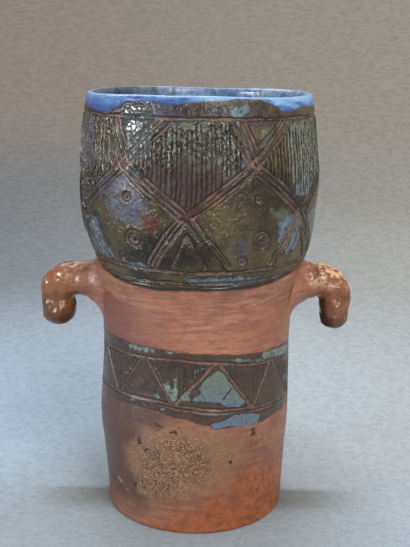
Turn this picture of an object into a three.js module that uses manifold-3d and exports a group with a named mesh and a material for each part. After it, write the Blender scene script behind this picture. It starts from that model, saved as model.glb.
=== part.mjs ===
// A two-handled studio vase in stoneware: a narrow cylinder, a wider bowl standing on it, and a
// hook-shaped handle on each side of the joint. The potter made six pieces of clay and luted them:
// a floor slab, the cylinder's wall, the bowl's wall, a coil pressed into the corner between those
// two walls, and two rolled handles. Millimetres, +Z up, origin at the middle of the foot, and the
// handles point along -X and +X. Every joint is a thin slip joint of the same width.
import * as THREE from 'three';
import { mergeVertices } from 'three/addons/utils/BufferGeometryUtils.js';
import Module from 'manifold-3d';

const wasm = await Module();
wasm.setup();

// The slip joint between two pieces of clay, and the walls
const slipJoint = 0.3;
const cylinderWall = 5.6;
const bowlWall = 5.4;

// The cylinder: radii of its outside, and the heights they are at
const cylinderHeight = 146;
const footRadius = 54.2;
const footHeight = 13;
const footBevel = 1.6;
const swellRadius = 57.6;
const swellHeight = 61;
const waistRadius = 56.1;
const waistHeight = 98;
const neckRadius = 56.9;
const neckDrop = 20;
const shoulderRadius = 57.4;

// The floor slab inside the cylinder's foot
const floorThickness = 7;
const floorRecess = 1.2;
const floorChamfer = 0.8;
const floorDish = 0.8;

// The bowl: radii of its outside, and the heights above its own foot they are at. The foot stands
// out over the cylinder by the overhang.
const bowlHeight = 103.7;
const footOverhang = 1;
const lowerCurveRadius = 64;
const lowerCurveHeight = 15.2;
const bellyStartRadius = 67.9;
const bellyStartHeight = 31;
const bellyRadius = 69.2;
const bellyHeight = 55;
const collarRadius = 67.2;
const collarHeight = 81;
const rimRadius = 64.4;

// The coil in the corner under the bowl
const coilDrop = 4.5;
const coilRise = 3;
const coilThickness = 1.8;
const coilFeather = 0.7;

// The handles: a roll of clay bent into a hook and pressed on below the joint. The left one is the
// thicker of the two. Drops and rises are from the cylinder's top and from the handle's root, reach
// is from the wall to the middle of the hanging end, and the bend is measured on its inner side.
const rootDrop = 7.5;
const rootFlareRadius = 21;
const rootFlareLength = 16;
const leftHandle = {
  side: -1, reach: 26.5, rise: 0.1, hang: 28.5, innerBend: 0.9, armRadius: 10.5, tipRadius: 10,
};
const rightHandle = {
  side: 1, reach: 25.9, rise: 1.5, hang: 28.7, innerBend: 1.6, armRadius: 10.4, tipRadius: 9,
};

// How the hand-made form departs from a true round: a sway of the axis, an oval and a wavy rim
const sways = [
  { height: 60, spread: 26, reach: -0.8 },
  { height: cylinderHeight + 13, spread: 15, reach: 1.7 },
  { height: cylinderHeight + 58, spread: 11, reach: 0.6 },
];
const ovalShare = 0.003;
const rimWave = 0.5;
const rimWaveDepth = 22;

// Facets
const roundFacets = 64;
const handleFacets = 22;

const clayColour = 0xa8674a;
const darkGlazeColour = 0x4a4238;
const innerGlazeColour = 0xb9c8d2;
const lustreColour = 0x9c6b48;

// A smooth line through [radius, height] points, as that many points.
function smoothLine(points, count) {
  const curve = new THREE.SplineCurve(points.map(([r, z]) => new THREE.Vector2(r, z)));
  return curve.getPoints(count - 1);
}

// The line that lies a distance inside another, measured square to it.
function insideLine(line, distance) {
  return line.map((point, i) => {
    const before = line[Math.max(i - 1, 0)];
    const after = line[Math.min(i + 1, line.length - 1)];
    const along = after.clone().sub(before).normalize();
    return new THREE.Vector2(point.x - along.y * distance, point.y + along.x * distance);
  });
}

// Turns a closed outline of Vector2 points, [radius, height], round the Z axis.
function turned(outline) {
  const closed = [...outline, outline[0].clone()];
  return new THREE.LatheGeometry(closed, roundFacets).rotateX(Math.PI / 2);
}

const at = (radius, height) => new THREE.Vector2(radius, height);

const cylinderOutside = smoothLine([
  [footRadius, footBevel],
  [footRadius, footHeight],
  [(footRadius + swellRadius) / 2, (footHeight + swellHeight) / 2],
  [swellRadius, swellHeight],
  [waistRadius, waistHeight],
  [neckRadius, cylinderHeight - neckDrop],
  [shoulderRadius, cylinderHeight],
], 19);

const bowlBase = cylinderHeight + slipJoint;
const bowlOutside = smoothLine([
  [shoulderRadius + footOverhang, bowlBase],
  [lowerCurveRadius, bowlBase + lowerCurveHeight],
  [bellyStartRadius, bowlBase + bellyStartHeight],
  [bellyRadius, bowlBase + bellyHeight],
  [collarRadius, bowlBase + collarHeight],
  [rimRadius, bowlBase + bowlHeight - bowlWall / 2],
], 18);

// Where a line has a height: its radius there.
function radiusAt(line, height) {
  const i = Math.max(1, line.findIndex((p) => p.y >= height));
  const [low, high] = [line[i - 1], line[i]];
  return THREE.MathUtils.mapLinear(height, low.y, high.y, low.x, high.x);
}

function cylinderShell() {
  const inside = insideLine(cylinderOutside, cylinderWall).filter((p, i) => i % 2 === 1);
  const top = at(shoulderRadius - cylinderWall, cylinderHeight);
  const innerFoot = footRadius - cylinderWall;
  return turned([
    at(innerFoot, 0),
    at(footRadius - footBevel, 0),
    ...cylinderOutside,
    top,
    ...inside.filter((p) => p.y > footHeight && p.y < cylinderHeight - 2).reverse(),
    at(innerFoot, footHeight),
  ]);
}

// The slab lies inside the wall's foot, a little above the ring that the vase stands on.
function floorSlab() {
  const radius = footRadius - cylinderWall - slipJoint;
  const top = floorRecess + floorThickness;
  return turned([
    at(0, floorRecess),
    at(radius - floorChamfer, floorRecess),
    at(radius, floorRecess + floorChamfer),
    at(radius, top),
    at(radius / 2, top - floorDish * 0.75),
    at(0, top - floorDish),
  ]);
}

function bowlShell() {
  const inside = insideLine(bowlOutside, bowlWall).filter((p, i) => i % 2 === 0);
  const lipCentre = bowlBase + bowlHeight - bowlWall / 2;
  const lip = new THREE.Path().absarc(rimRadius - bowlWall / 2, lipCentre, bowlWall / 2, 0, Math.PI);
  return turned([
    at(shoulderRadius - cylinderWall, bowlBase),
    ...bowlOutside.slice(0, -1),
    ...lip.getPoints(8),
    ...inside.slice(1, -1).reverse(),
  ]);
}

// The coil's visible side, from its edge on the cylinder to its edge on the bowl.
function coilOutside() {
  const low = cylinderHeight - coilDrop;
  const high = bowlBase + coilRise;
  const middle = (low + high) / 2;
  return smoothLine([
    [radiusAt(cylinderOutside, low) + coilFeather, low],
    [radiusAt(cylinderOutside, middle) + coilThickness, middle],
    [radiusAt(bowlOutside, high) + coilFeather, high],
  ], 6);
}

// The coil fills the corner: the cylinder's wall is behind it and the bowl's curve is above it.
function cornerCoil() {
  const low = cylinderHeight - coilDrop;
  const high = bowlBase + coilRise;
  const wallFace = (z) => at(radiusAt(cylinderOutside, z) + slipJoint, z);
  const bowlFace = (z) => at(radiusAt(bowlOutside, z) + slipJoint * 1.3, z - slipJoint * 0.4);
  return turned([
    wallFace(low),
    ...coilOutside(),
    bowlFace(high),
    bowlFace((bowlBase + high) / 2),
    bowlFace(bowlBase + slipJoint),
    at(shoulderRadius + footOverhang, bowlBase - slipJoint),
    wallFace(cylinderHeight - slipJoint),
  ]);
}

// A closed geometry as a solid, and back.
function solidOf(geometry) {
  const bare = geometry.clone();
  bare.deleteAttribute('normal');
  bare.deleteAttribute('uv');
  const merged = mergeVertices(bare, 1e-4);
  return new wasm.Manifold(new wasm.Mesh({
    numProp: 3,
    vertProperties: new Float32Array(merged.attributes.position.array),
    triVerts: new Uint32Array(merged.index.array),
  }));
}

function geometryOf(solid) {
  const mesh = solid.getMesh();
  const positions = new Float32Array(mesh.numVert * 3);
  for (let i = 0; i < mesh.numVert; i += 1) {
    positions.set(mesh.vertProperties.subarray(i * mesh.numProp, i * mesh.numProp + 3), i * 3);
  }
  const geometry = new THREE.BufferGeometry();
  geometry.setAttribute('position', new THREE.BufferAttribute(positions, 3));
  geometry.setIndex(new THREE.BufferAttribute(mesh.triVerts, 1));
  return geometry;
}

// Everything the handles are pressed against, a slip joint larger and filled to the axis.
function pressedAgainst() {
  const grown = (line) => insideLine(line, -slipJoint);
  const filled = (line) => solidOf(turned([at(0, line[0].y), ...line, at(0, line.at(-1).y)]));
  const coilFace = grown(coilOutside());
  coilFace.unshift(at(coilFace[0].x, coilFace[0].y - slipJoint));
  coilFace.push(at(coilFace.at(-1).x, coilFace.at(-1).y + slipJoint));
  return filled(grown(cylinderOutside)).add(filled(grown(bowlOutside))).add(filled(coilFace));
}

const rootHeight = cylinderHeight - rootDrop;

// The middle line of a hook: out along the arm, round the bend and down to the tip.
function hookLine({ reach, rise, hang, innerBend, armRadius, tipRadius }) {
  const inWall = at(shoulderRadius - cylinderWall, rootHeight);
  const bendRadius = armRadius + innerBend;
  const hangingAt = shoulderRadius + reach;
  const bendStart = at(hangingAt - bendRadius, rootHeight + rise);
  const bendCentre = at(bendStart.x, bendStart.y - bendRadius);
  const line = new THREE.CurvePath();
  line.add(new THREE.LineCurve(inWall, bendStart));
  const bend = new THREE.EllipseCurve(
    bendCentre.x, bendCentre.y, bendRadius, bendRadius, Math.PI / 2, 0, true);
  line.add(bend);
  const tipCentre = at(hangingAt, rootHeight - hang + tipRadius);
  line.add(new THREE.LineCurve(at(hangingAt, bendCentre.y), tipCentre));
  return line;
}

// A tapered roll with a round tip, turned straight and then bent along the hook's line.
function rolledHandle(hook) {
  const line = hookLine(hook);
  const length = line.getLength();
  const flareEnd = radiusAt(cylinderOutside, rootHeight) - shoulderRadius + cylinderWall;
  const rollRadius = (s) => {
    const flare = Math.max(0, 1 - Math.max(0, s - flareEnd) / rootFlareLength);
    const slim = THREE.MathUtils.lerp(hook.armRadius, hook.tipRadius, s / length);
    return slim + (rootFlareRadius - slim) * flare ** 3;
  };
  const stations = 22;
  const outline = [at(0, 0)];
  for (let i = 0; i <= stations; i += 1) {
    const s = (length * i) / stations;
    outline.push(at(rollRadius(s), s));
  }
  const tip = new THREE.Path().absarc(0, length, hook.tipRadius, 0, Math.PI / 2);
  outline.push(...tip.getPoints(5).slice(1));
  outline.at(-1).x = 0;
  const roll = new THREE.LatheGeometry(outline, handleFacets);
  const position = roll.attributes.position;
  for (let i = 0; i < position.count; i += 1) {
    const s = Math.min(position.getY(i), length);
    const beyond = position.getY(i) - s;
    const middle = line.getPointAt(s / length);
    const along = line.getTangentAt(s / length);
    const sideways = position.getX(i);
    position.setXYZ(i,
      hook.side * (middle.x + along.x * beyond - along.y * sideways),
      position.getZ(i) * hook.side,
      middle.y + along.y * beyond + along.x * sideways);
  }
  return geometryOf(solidOf(roll).subtract(pressedAgainst()));
}

// Moves every point of a finished piece as the potter's hands left it.
function handMade(geometry) {
  const swayAt = (z) => sways.reduce(
    (sum, sway) => sum + sway.reach * Math.exp(-(((z - sway.height) / sway.spread) ** 2)), 0);
  const top = bowlBase + bowlHeight;
  const position = geometry.attributes.position;
  for (let i = 0; i < position.count; i += 1) {
    const [x, y, z] = [position.getX(i), position.getY(i), position.getZ(i)];
    const angle = Math.atan2(y, x);
    const aboveFoot = THREE.MathUtils.smoothstep(z, 0, footHeight);
    const oval = 1 + ovalShare * aboveFoot * Math.cos(2 * angle + z / 40);
    const nearRim = THREE.MathUtils.smoothstep(z, top - rimWaveDepth, top);
    position.setXYZ(i,
      x * oval + swayAt(z),
      y * oval,
      z + rimWave * nearRim * Math.sin(3 * angle + 0.6));
  }
  geometry.computeVertexNormals();
  return geometry;
}

const materials = {
  clay: new THREE.MeshStandardMaterial({ color: clayColour, roughness: 0.55, metalness: 0 }),
  darkGlaze: new THREE.MeshStandardMaterial({ color: darkGlazeColour, roughness: 0.18, metalness: 0 }),
  innerGlaze: new THREE.MeshStandardMaterial({ color: innerGlazeColour, roughness: 0.2, metalness: 0 }),
  lustre: new THREE.MeshStandardMaterial({ color: lustreColour, roughness: 0.35, metalness: 0 }),
};

const vase = new THREE.Group();

function addPiece(name, geometry, material) {
  const piece = new THREE.Mesh(handMade(geometry), material);
  piece.name = name;
  vase.add(piece);
}

addPiece('floor_slab', floorSlab(), materials.innerGlaze);
addPiece('cylinder_wall', cylinderShell(), materials.clay);
addPiece('joint_coil', cornerCoil(), materials.clay);
addPiece('bowl_wall', bowlShell(), materials.darkGlaze);
addPiece('handle_left', rolledHandle(leftHandle), materials.lustre);
addPiece('handle_right', rolledHandle(rightHandle), materials.lustre);

export default vase;
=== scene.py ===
# Hand-built stoneware vase: a carved, dark-glazed bowl on a bare clay cylinder, with two hook handles.
# Lengths are metres unless a note says mm. The front is towards -Y; angles run from the front towards +X.
import math
from types import SimpleNamespace

import bpy
import numpy as np
from mathutils import Matrix, Vector, noise
from mathutils.bvhtree import BVHTree


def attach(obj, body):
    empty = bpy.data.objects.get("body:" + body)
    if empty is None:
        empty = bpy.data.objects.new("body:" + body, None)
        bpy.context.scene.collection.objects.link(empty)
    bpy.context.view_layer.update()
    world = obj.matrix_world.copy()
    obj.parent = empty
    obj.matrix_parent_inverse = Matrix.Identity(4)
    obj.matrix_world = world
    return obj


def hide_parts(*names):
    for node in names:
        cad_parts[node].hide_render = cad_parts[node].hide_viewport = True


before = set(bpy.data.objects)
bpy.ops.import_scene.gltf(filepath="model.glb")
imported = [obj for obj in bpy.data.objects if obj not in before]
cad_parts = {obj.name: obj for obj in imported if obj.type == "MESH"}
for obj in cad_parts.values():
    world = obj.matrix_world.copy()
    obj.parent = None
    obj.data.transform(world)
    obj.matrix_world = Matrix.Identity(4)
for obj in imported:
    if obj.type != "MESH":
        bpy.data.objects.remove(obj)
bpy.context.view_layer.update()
scene = bpy.context.scene
mm = 0.001
print("frame loaded:", ", ".join(sorted(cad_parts)))


def paint(red, green, blue):
    # a colour as the eye sees it, 0 to 255, into linear light
    values = (red / 255, green / 255, blue / 255)
    return tuple(v / 12.92 if v <= 0.04045 else ((v + 0.055) / 1.055) ** 2.4 for v in values) + (1,)


def palette(**colors):
    # named colours, each given as red, green, blue
    return SimpleNamespace(**{name: paint(*color) for name, color in colors.items()})


# camera

cameraView = {
    "place": (0.00454, -0.524, 0.2744), "pitchDown": 14.11, "roll": 0.88,
    "focalPixels": 900, "photoHeight": 547, "sensor": 36,
}

cameraData = bpy.data.cameras.new("camera")
cameraData.sensor_width = cameraView["sensor"]
cameraData.lens = cameraView["focalPixels"] / cameraView["photoHeight"] * cameraView["sensor"]
cameraData.clip_start = 0.02
camera = bpy.data.objects.new("camera", cameraData)
scene.collection.objects.link(camera)
camera.matrix_world = (
    Matrix.Translation(cameraView["place"])
    @ Matrix.Rotation(math.pi / 2 - math.radians(cameraView["pitchDown"]), 4, "X")
    @ Matrix.Rotation(math.radians(cameraView["roll"]), 4, "Z")
)
scene.camera = camera
scene.view_settings.view_transform = "Standard"


# node helpers

class Signal:
    # what one node hands to the next; arithmetic between signals becomes Math nodes
    def __init__(self, kit, socket):
        self.kit = kit
        self.socket = socket

    def __add__(self, other):
        return self.kit.calc("ADD", self, other)

    def __sub__(self, other):
        return self.kit.calc("SUBTRACT", self, other)

    def __rsub__(self, other):
        return self.kit.calc("SUBTRACT", other, self)

    def __mul__(self, other):
        return self.kit.calc("MULTIPLY", self, other)

    def __truediv__(self, other):
        return self.kit.calc("DIVIDE", self, other)

    def ease(self, low, high, start=0.0, end=1.0, kind="SMOOTHSTEP"):
        # from start at low to end at high
        inputs = {0: self, 1: low, 2: high, 3: start, 4: end}
        return self.kit.give("ShaderNodeMapRange", 0, inputs, interpolation_type=kind)


class NodeKit:
    def __init__(self, tree):
        self.tree = tree
        self.vector = None  # where grain and groups are read, unless a call says otherwise

    def plug(self, value, socket):
        if isinstance(value, Signal):
            self.tree.links.new(value.socket, socket)
        else:
            socket.default_value = value

    def put(self, kind, inputs=None, **settings):
        node = self.tree.nodes.new(kind)
        for name, value in settings.items():
            setattr(node, name, value)
        for key, value in (inputs or {}).items():
            self.plug(value, node.inputs[key])
        return node

    def give(self, kind, out=0, inputs=None, **settings):
        return Signal(self, self.put(kind, inputs, **settings).outputs[out])

    def use(self, group, inputs=None):
        node = self.put("ShaderNodeGroup", {"Vector": self.vector, **(inputs or {})}, node_tree=group)
        return {socket.name: Signal(self, socket) for socket in node.outputs}

    def calc(self, operation, *values, clamp=False):
        return self.give("ShaderNodeMath", 0, dict(enumerate(values)), operation=operation, use_clamp=clamp)

    def most(self, a, b):
        return self.calc("MAXIMUM", a, b)

    def vec(self, operation, *values):
        out = "Value" if operation == "LENGTH" else "Vector"
        return self.give("ShaderNodeVectorMath", out, dict(enumerate(values)), operation=operation)

    def grow(self, vector, amount):
        return self.give("ShaderNodeVectorMath", "Vector", {0: vector, "Scale": amount}, operation="SCALE")

    def join(self, x=0.0, y=0.0, z=0.0):
        return self.give("ShaderNodeCombineXYZ", 0, {0: x, 1: y, 2: z})

    def parts(self, vector):
        return [Signal(self, socket) for socket in self.put("ShaderNodeSeparateXYZ", {0: vector}).outputs]

    def tint(self, factor, a, b, kind="MIX"):
        return self.give("ShaderNodeMix", 2, {0: factor, 6: a, 7: b}, data_type="RGBA", blend_type=kind)

    def mix(self, factor, a, b):
        return self.give("ShaderNodeMix", 0, {0: factor, 2: a, 3: b}, data_type="FLOAT")

    def grain(self, scale, detail=2.0, roughness=0.5, distortion=0.0, stretch=None, vector=None, out="Fac"):
        place = vector or self.vector
        if stretch:
            place = self.vec("MULTIPLY", place, stretch)
        inputs = {"Vector": place, "Scale": scale, "Detail": detail, "Roughness": roughness}
        return self.give("ShaderNodeTexNoise", out, {**inputs, "Distortion": distortion})

    def field(self, name):
        # a value stored on a finished mesh, for its material
        return self.give("ShaderNodeAttribute", "Fac", attribute_name=name)

    def stored(self, name, kind="FLOAT"):
        # a value stored on the geometry that a tree works on
        return self.give("GeometryNodeInputNamedAttribute", "Attribute", {"Name": name}, data_type=kind)

    def ragged(self, name, breakUp, scale, softness, outline=0.7, vector=None):
        # a field as a patch with a ragged edge, and the line round it; lengths in mm
        out = self.use(brokenEdge, {
            "Vector": vector or self.vector, "Field": self.field(name), "Break Up": breakUp * mm,
            "Scale": scale, "Softness": softness * mm, "Outline Width": outline * mm,
        })
        return out["Mask"], out["Outline"]


def newTree(name, kind, inputs, outputs):
    # inputs and outputs: name -> default value, or the socket's kind where it has none
    tree = bpy.data.node_groups.new(name, kind)
    for way, sockets in (("INPUT", inputs), ("OUTPUT", outputs)):
        for label, value in sockets.items():
            plain = not isinstance(value, str)
            socketKind = {float: "Float", int: "Int"}[type(value)] if plain else value
            socket = tree.interface.new_socket(label, in_out=way, socket_type="NodeSocket" + socketKind)
            if plain:
                socket.default_value = value
    kit = NodeKit(tree)
    ins = {socket.name: Signal(kit, socket) for socket in kit.put("NodeGroupInput").outputs}
    kit.vector = ins.get("Vector")
    return kit, ins, kit.put("NodeGroupOutput").inputs


def setInputs(modifier, values):
    for item in modifier.node_group.interface.items_tree:
        if item.item_type == "SOCKET" and item.in_out == "INPUT" and item.name in values:
            modifier[item.identifier] = values[item.name]


# the outline of the whole vase, mm: radius and height, the same curves as the solids

form = {
    "cylinderHeight": 146, "cylinderWall": 5.6, "footRadius": 54.2, "footHeight": 13, "footBevel": 1.6,
    "swell": (57.6, 61), "waist": (56.1, 98), "neck": (56.9, 126), "shoulderRadius": 57.4,
    "bowlBase": 146.3, "bowlHeight": 103.7, "bowlWall": 5.4, "rimRadius": 64.4,
    "bowlPoints": [(58.4, 0), (64, 15.2), (67.9, 31), (69.2, 55), (67.2, 81)],
    "sways": [(60, 26, -0.8), (159, 15, 1.7), (204, 11, 0.6)],  # height, spread, reach towards +X
    "oval": 0.003, "rimWave": 0.5, "rimWaveDepth": 22,
}


def smoothLine(points, count=900):
    points = np.array(points, float)
    last = len(points) - 1
    line = []
    for t in np.linspace(0, last, count):
        i = min(int(t), last)
        w = t - i
        before, start = points[max(i - 1, 0)], points[i]
        end, after = points[min(i + 1, last)], points[min(i + 2, last)]
        leave, reach = (end - before) / 2, (after - start) / 2
        cube = 2 * start - 2 * end + leave + reach
        square = 3 * end - 3 * start - 2 * leave - reach
        line.append(cube * w**3 + square * w**2 + leave * w + start)
    return np.array(line)


footR, footH, swell = form["footRadius"], form["footHeight"], form["swell"]
shoulderR = form["shoulderRadius"]
rimTop = form["bowlBase"] + form["bowlHeight"]
rimCentre = rimTop - form["bowlWall"] / 2
cylinderLine = smoothLine([
    (footR, form["footBevel"]), (footR, footH), ((footR + swell[0]) / 2, (footH + swell[1]) / 2),
    swell, form["waist"], form["neck"], (shoulderR, form["cylinderHeight"]),
])
bowlLine = smoothLine(
    [(r, form["bowlBase"] + h) for r, h in form["bowlPoints"]] + [(form["rimRadius"], rimCentre)])


def cylinderRadius(height):
    return np.interp(height, cylinderLine[:, 1], cylinderLine[:, 0])


def bowlRadius(height):
    return np.interp(height, bowlLine[:, 1], bowlLine[:, 0])


def handMade(points):
    # the sway, oval and wavy rim that every piece shares; points in mm
    x, y, z = points.T
    angle = np.arctan2(y, x)
    rise = np.clip(z / footH, 0, 1)
    oval = 1 + form["oval"] * rise * rise * (3 - 2 * rise) * np.cos(2 * angle + z / 40)
    drift = sum(reach * np.exp(-(((z - height) / spread) ** 2)) for height, spread, reach in form["sways"])
    top = np.clip((z - (rimTop - form["rimWaveDepth"])) / form["rimWaveDepth"], 0, 1)
    lift = form["rimWave"] * top * top * (3 - 2 * top) * np.sin(3 * angle + 0.6)
    return np.stack([x * oval + drift, y * oval, z + lift], axis=1)


def aroundTable(table, angles):
    # a height or width that changes round the vase: {angle in degrees: value}
    keys = sorted(table)
    return np.interp(angles, keys, [table[k] for k in keys], period=360)


def anglesOf(points):
    return np.degrees(np.arctan2(points[:, 0], -points[:, 1]))


def patchField(angles, heights, patches, radius):
    # signed distance in mm into the nearest of some outlines, drawn as (angle, height) corners;
    # it starts from 60 mm outside, which is nowhere near
    flat = np.stack([np.radians(angles) * radius, heights], axis=1)
    best = np.full(len(flat), -60.0)
    # an outline that reaches past the seam at the back goes on at its other side
    beyond = [[(a - 360, h) for a, h in patch] for patch in patches if max(a for a, h in patch) > 180]
    for corners in patches + beyond:
        shape = np.array([(math.radians(a) * radius, h) for a, h in corners])
        inside = np.zeros(len(flat), bool)
        nearest = np.full(len(flat), 1e9)
        for a, b in zip(shape, np.roll(shape, -1, axis=0)):
            edge, gap = b - a, flat - a
            share = np.clip((gap @ edge) / (edge @ edge), 0, 1)
            nearest = np.minimum(nearest, np.linalg.norm(gap - share[:, None] * edge, axis=1))
            crosses = (a[1] > flat[:, 1]) != (b[1] > flat[:, 1])
            reach = a[0] + (flat[:, 1] - a[1]) * edge[0] / (edge[1] if abs(edge[1]) > 1e-9 else 1e-9)
            inside ^= crosses & (flat[:, 0] < reach)
        best = np.maximum(best, np.where(inside, nearest, -nearest))
    return best


def addField(mesh, name, values):
    data = mesh.attributes.new(name, "FLOAT", "POINT").data
    data.foreach_set("value", np.ascontiguousarray(values, dtype=np.float32))


def addPatches(mesh, patches, points, radius):
    for name, outlines in patches.items():
        addField(mesh, name, patchField(anglesOf(points), points[:, 2], outlines, radius) * mm)


def pointsOf(mesh):
    points = np.empty(len(mesh.vertices) * 3)
    mesh.vertices.foreach_get("co", points)
    return points.reshape(-1, 3)


def setPoints(mesh, points):
    mesh.vertices.foreach_set("co", np.ascontiguousarray(points, dtype=np.float32).ravel())
    mesh.shade_smooth()
    mesh.update()


def newObject(name, points, edges=(), faces=()):
    mesh = bpy.data.meshes.new(name)
    mesh.from_pydata([tuple(p) for p in points], [tuple(e) for e in edges], [tuple(f) for f in faces])
    mesh.update()
    piece = bpy.data.objects.new(name, mesh)
    scene.collection.objects.link(piece)
    return piece


# geometry trees

def strokeTree():
    # drawn guides become wobbly strokes: side-by-side copies, copies round the vase, uneven ends
    kit, ins, outs = newTree("scratchStrokes", "GeometryNodeTree", {
        "Geometry": "Geometry", "Radius": 0.06, "Step Angle": 60.0, "Wobble": 0.0005, "Wobble Scale": 90.0,
        "Jitter": 0.0002, "Uneven Ends": 0.05, "Seed": 1,
    }, {"Geometry": "Geometry"})

    def move(geometry, offset):
        return kit.give("GeometryNodeSetPosition", 0, {"Geometry": geometry, "Offset": offset})

    def copy(geometry, amount):
        # the copies, and each one's place counted from the middle
        inputs = {"Geometry": geometry, "Amount": kit.stored(amount, "INT")}
        node = kit.put("GeometryNodeDuplicateElements", inputs, domain="SPLINE")
        middle = (kit.stored(amount) - 1.0) * 0.5
        return Signal(kit, node.outputs[0]), Signal(kit, node.outputs["Duplicate Index"]) - middle

    def cut(seed):
        inputs = {"Min": 0.0, "Max": ins["Uneven Ends"], "Seed": ins["Seed"] + seed}
        return kit.give("FunctionNodeRandomValue", 1, inputs, data_type="FLOAT")

    curves = kit.give("GeometryNodeMeshToCurve", 0, {"Mesh": ins["Geometry"]})
    lines, place = copy(curves, "lines")
    across = kit.vec("CROSS_PRODUCT", kit.give("GeometryNodeInputTangent"), (0, 0, 1))
    lines = move(lines, kit.grow(across, place * kit.stored("pitch")))
    inputs = {"Min": (-1, -1, 0), "Max": (1, 1, 0), "Seed": ins["Seed"]}
    vector = {"data_type": "FLOAT_VECTOR"}
    jitter = kit.give("FunctionNodeRandomValue", 0, inputs, **vector)
    perStroke = kit.give("GeometryNodeFieldOnDomain", 0, {0: jitter}, domain="CURVE", **vector)
    lines = move(lines, kit.grow(perStroke, ins["Jitter"]))
    inputs = {"Curve": lines, "Start": cut(11.0), "End": 1.0 - cut(23.0)}
    lines = kit.give("GeometryNodeTrimCurve", 0, inputs, mode="FACTOR")
    lines = kit.give("GeometryNodeResampleCurve", 0, {"Curve": lines, "Length": 0.0016}, mode="LENGTH")
    lines, place = copy(lines, "turns")
    radius = ins["Radius"]
    lines = move(lines, kit.join(x=place * radius * kit.calc("RADIANS", ins["Step Angle"])))
    spot = kit.parts(kit.give("GeometryNodeInputPosition"))
    angle = spot[0] / radius
    wrapped = kit.join(kit.calc("SINE", angle) * radius, kit.calc("COSINE", angle) * radius, spot[1])
    shake = kit.grain(ins["Wobble Scale"], 2.5, 0.6, vector=wrapped, out="Color")
    shake = kit.grow(kit.vec("SUBTRACT", shake, (0.5, 0.5, 0.5)), ins["Wobble"])
    lines = move(lines, kit.vec("MULTIPLY", shake, (2, 2, 0)))
    kit.plug(kit.give("GeometryNodeCurveToMesh", 0, {"Curve": lines}), outs["Geometry"])
    return kit.tree


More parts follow.
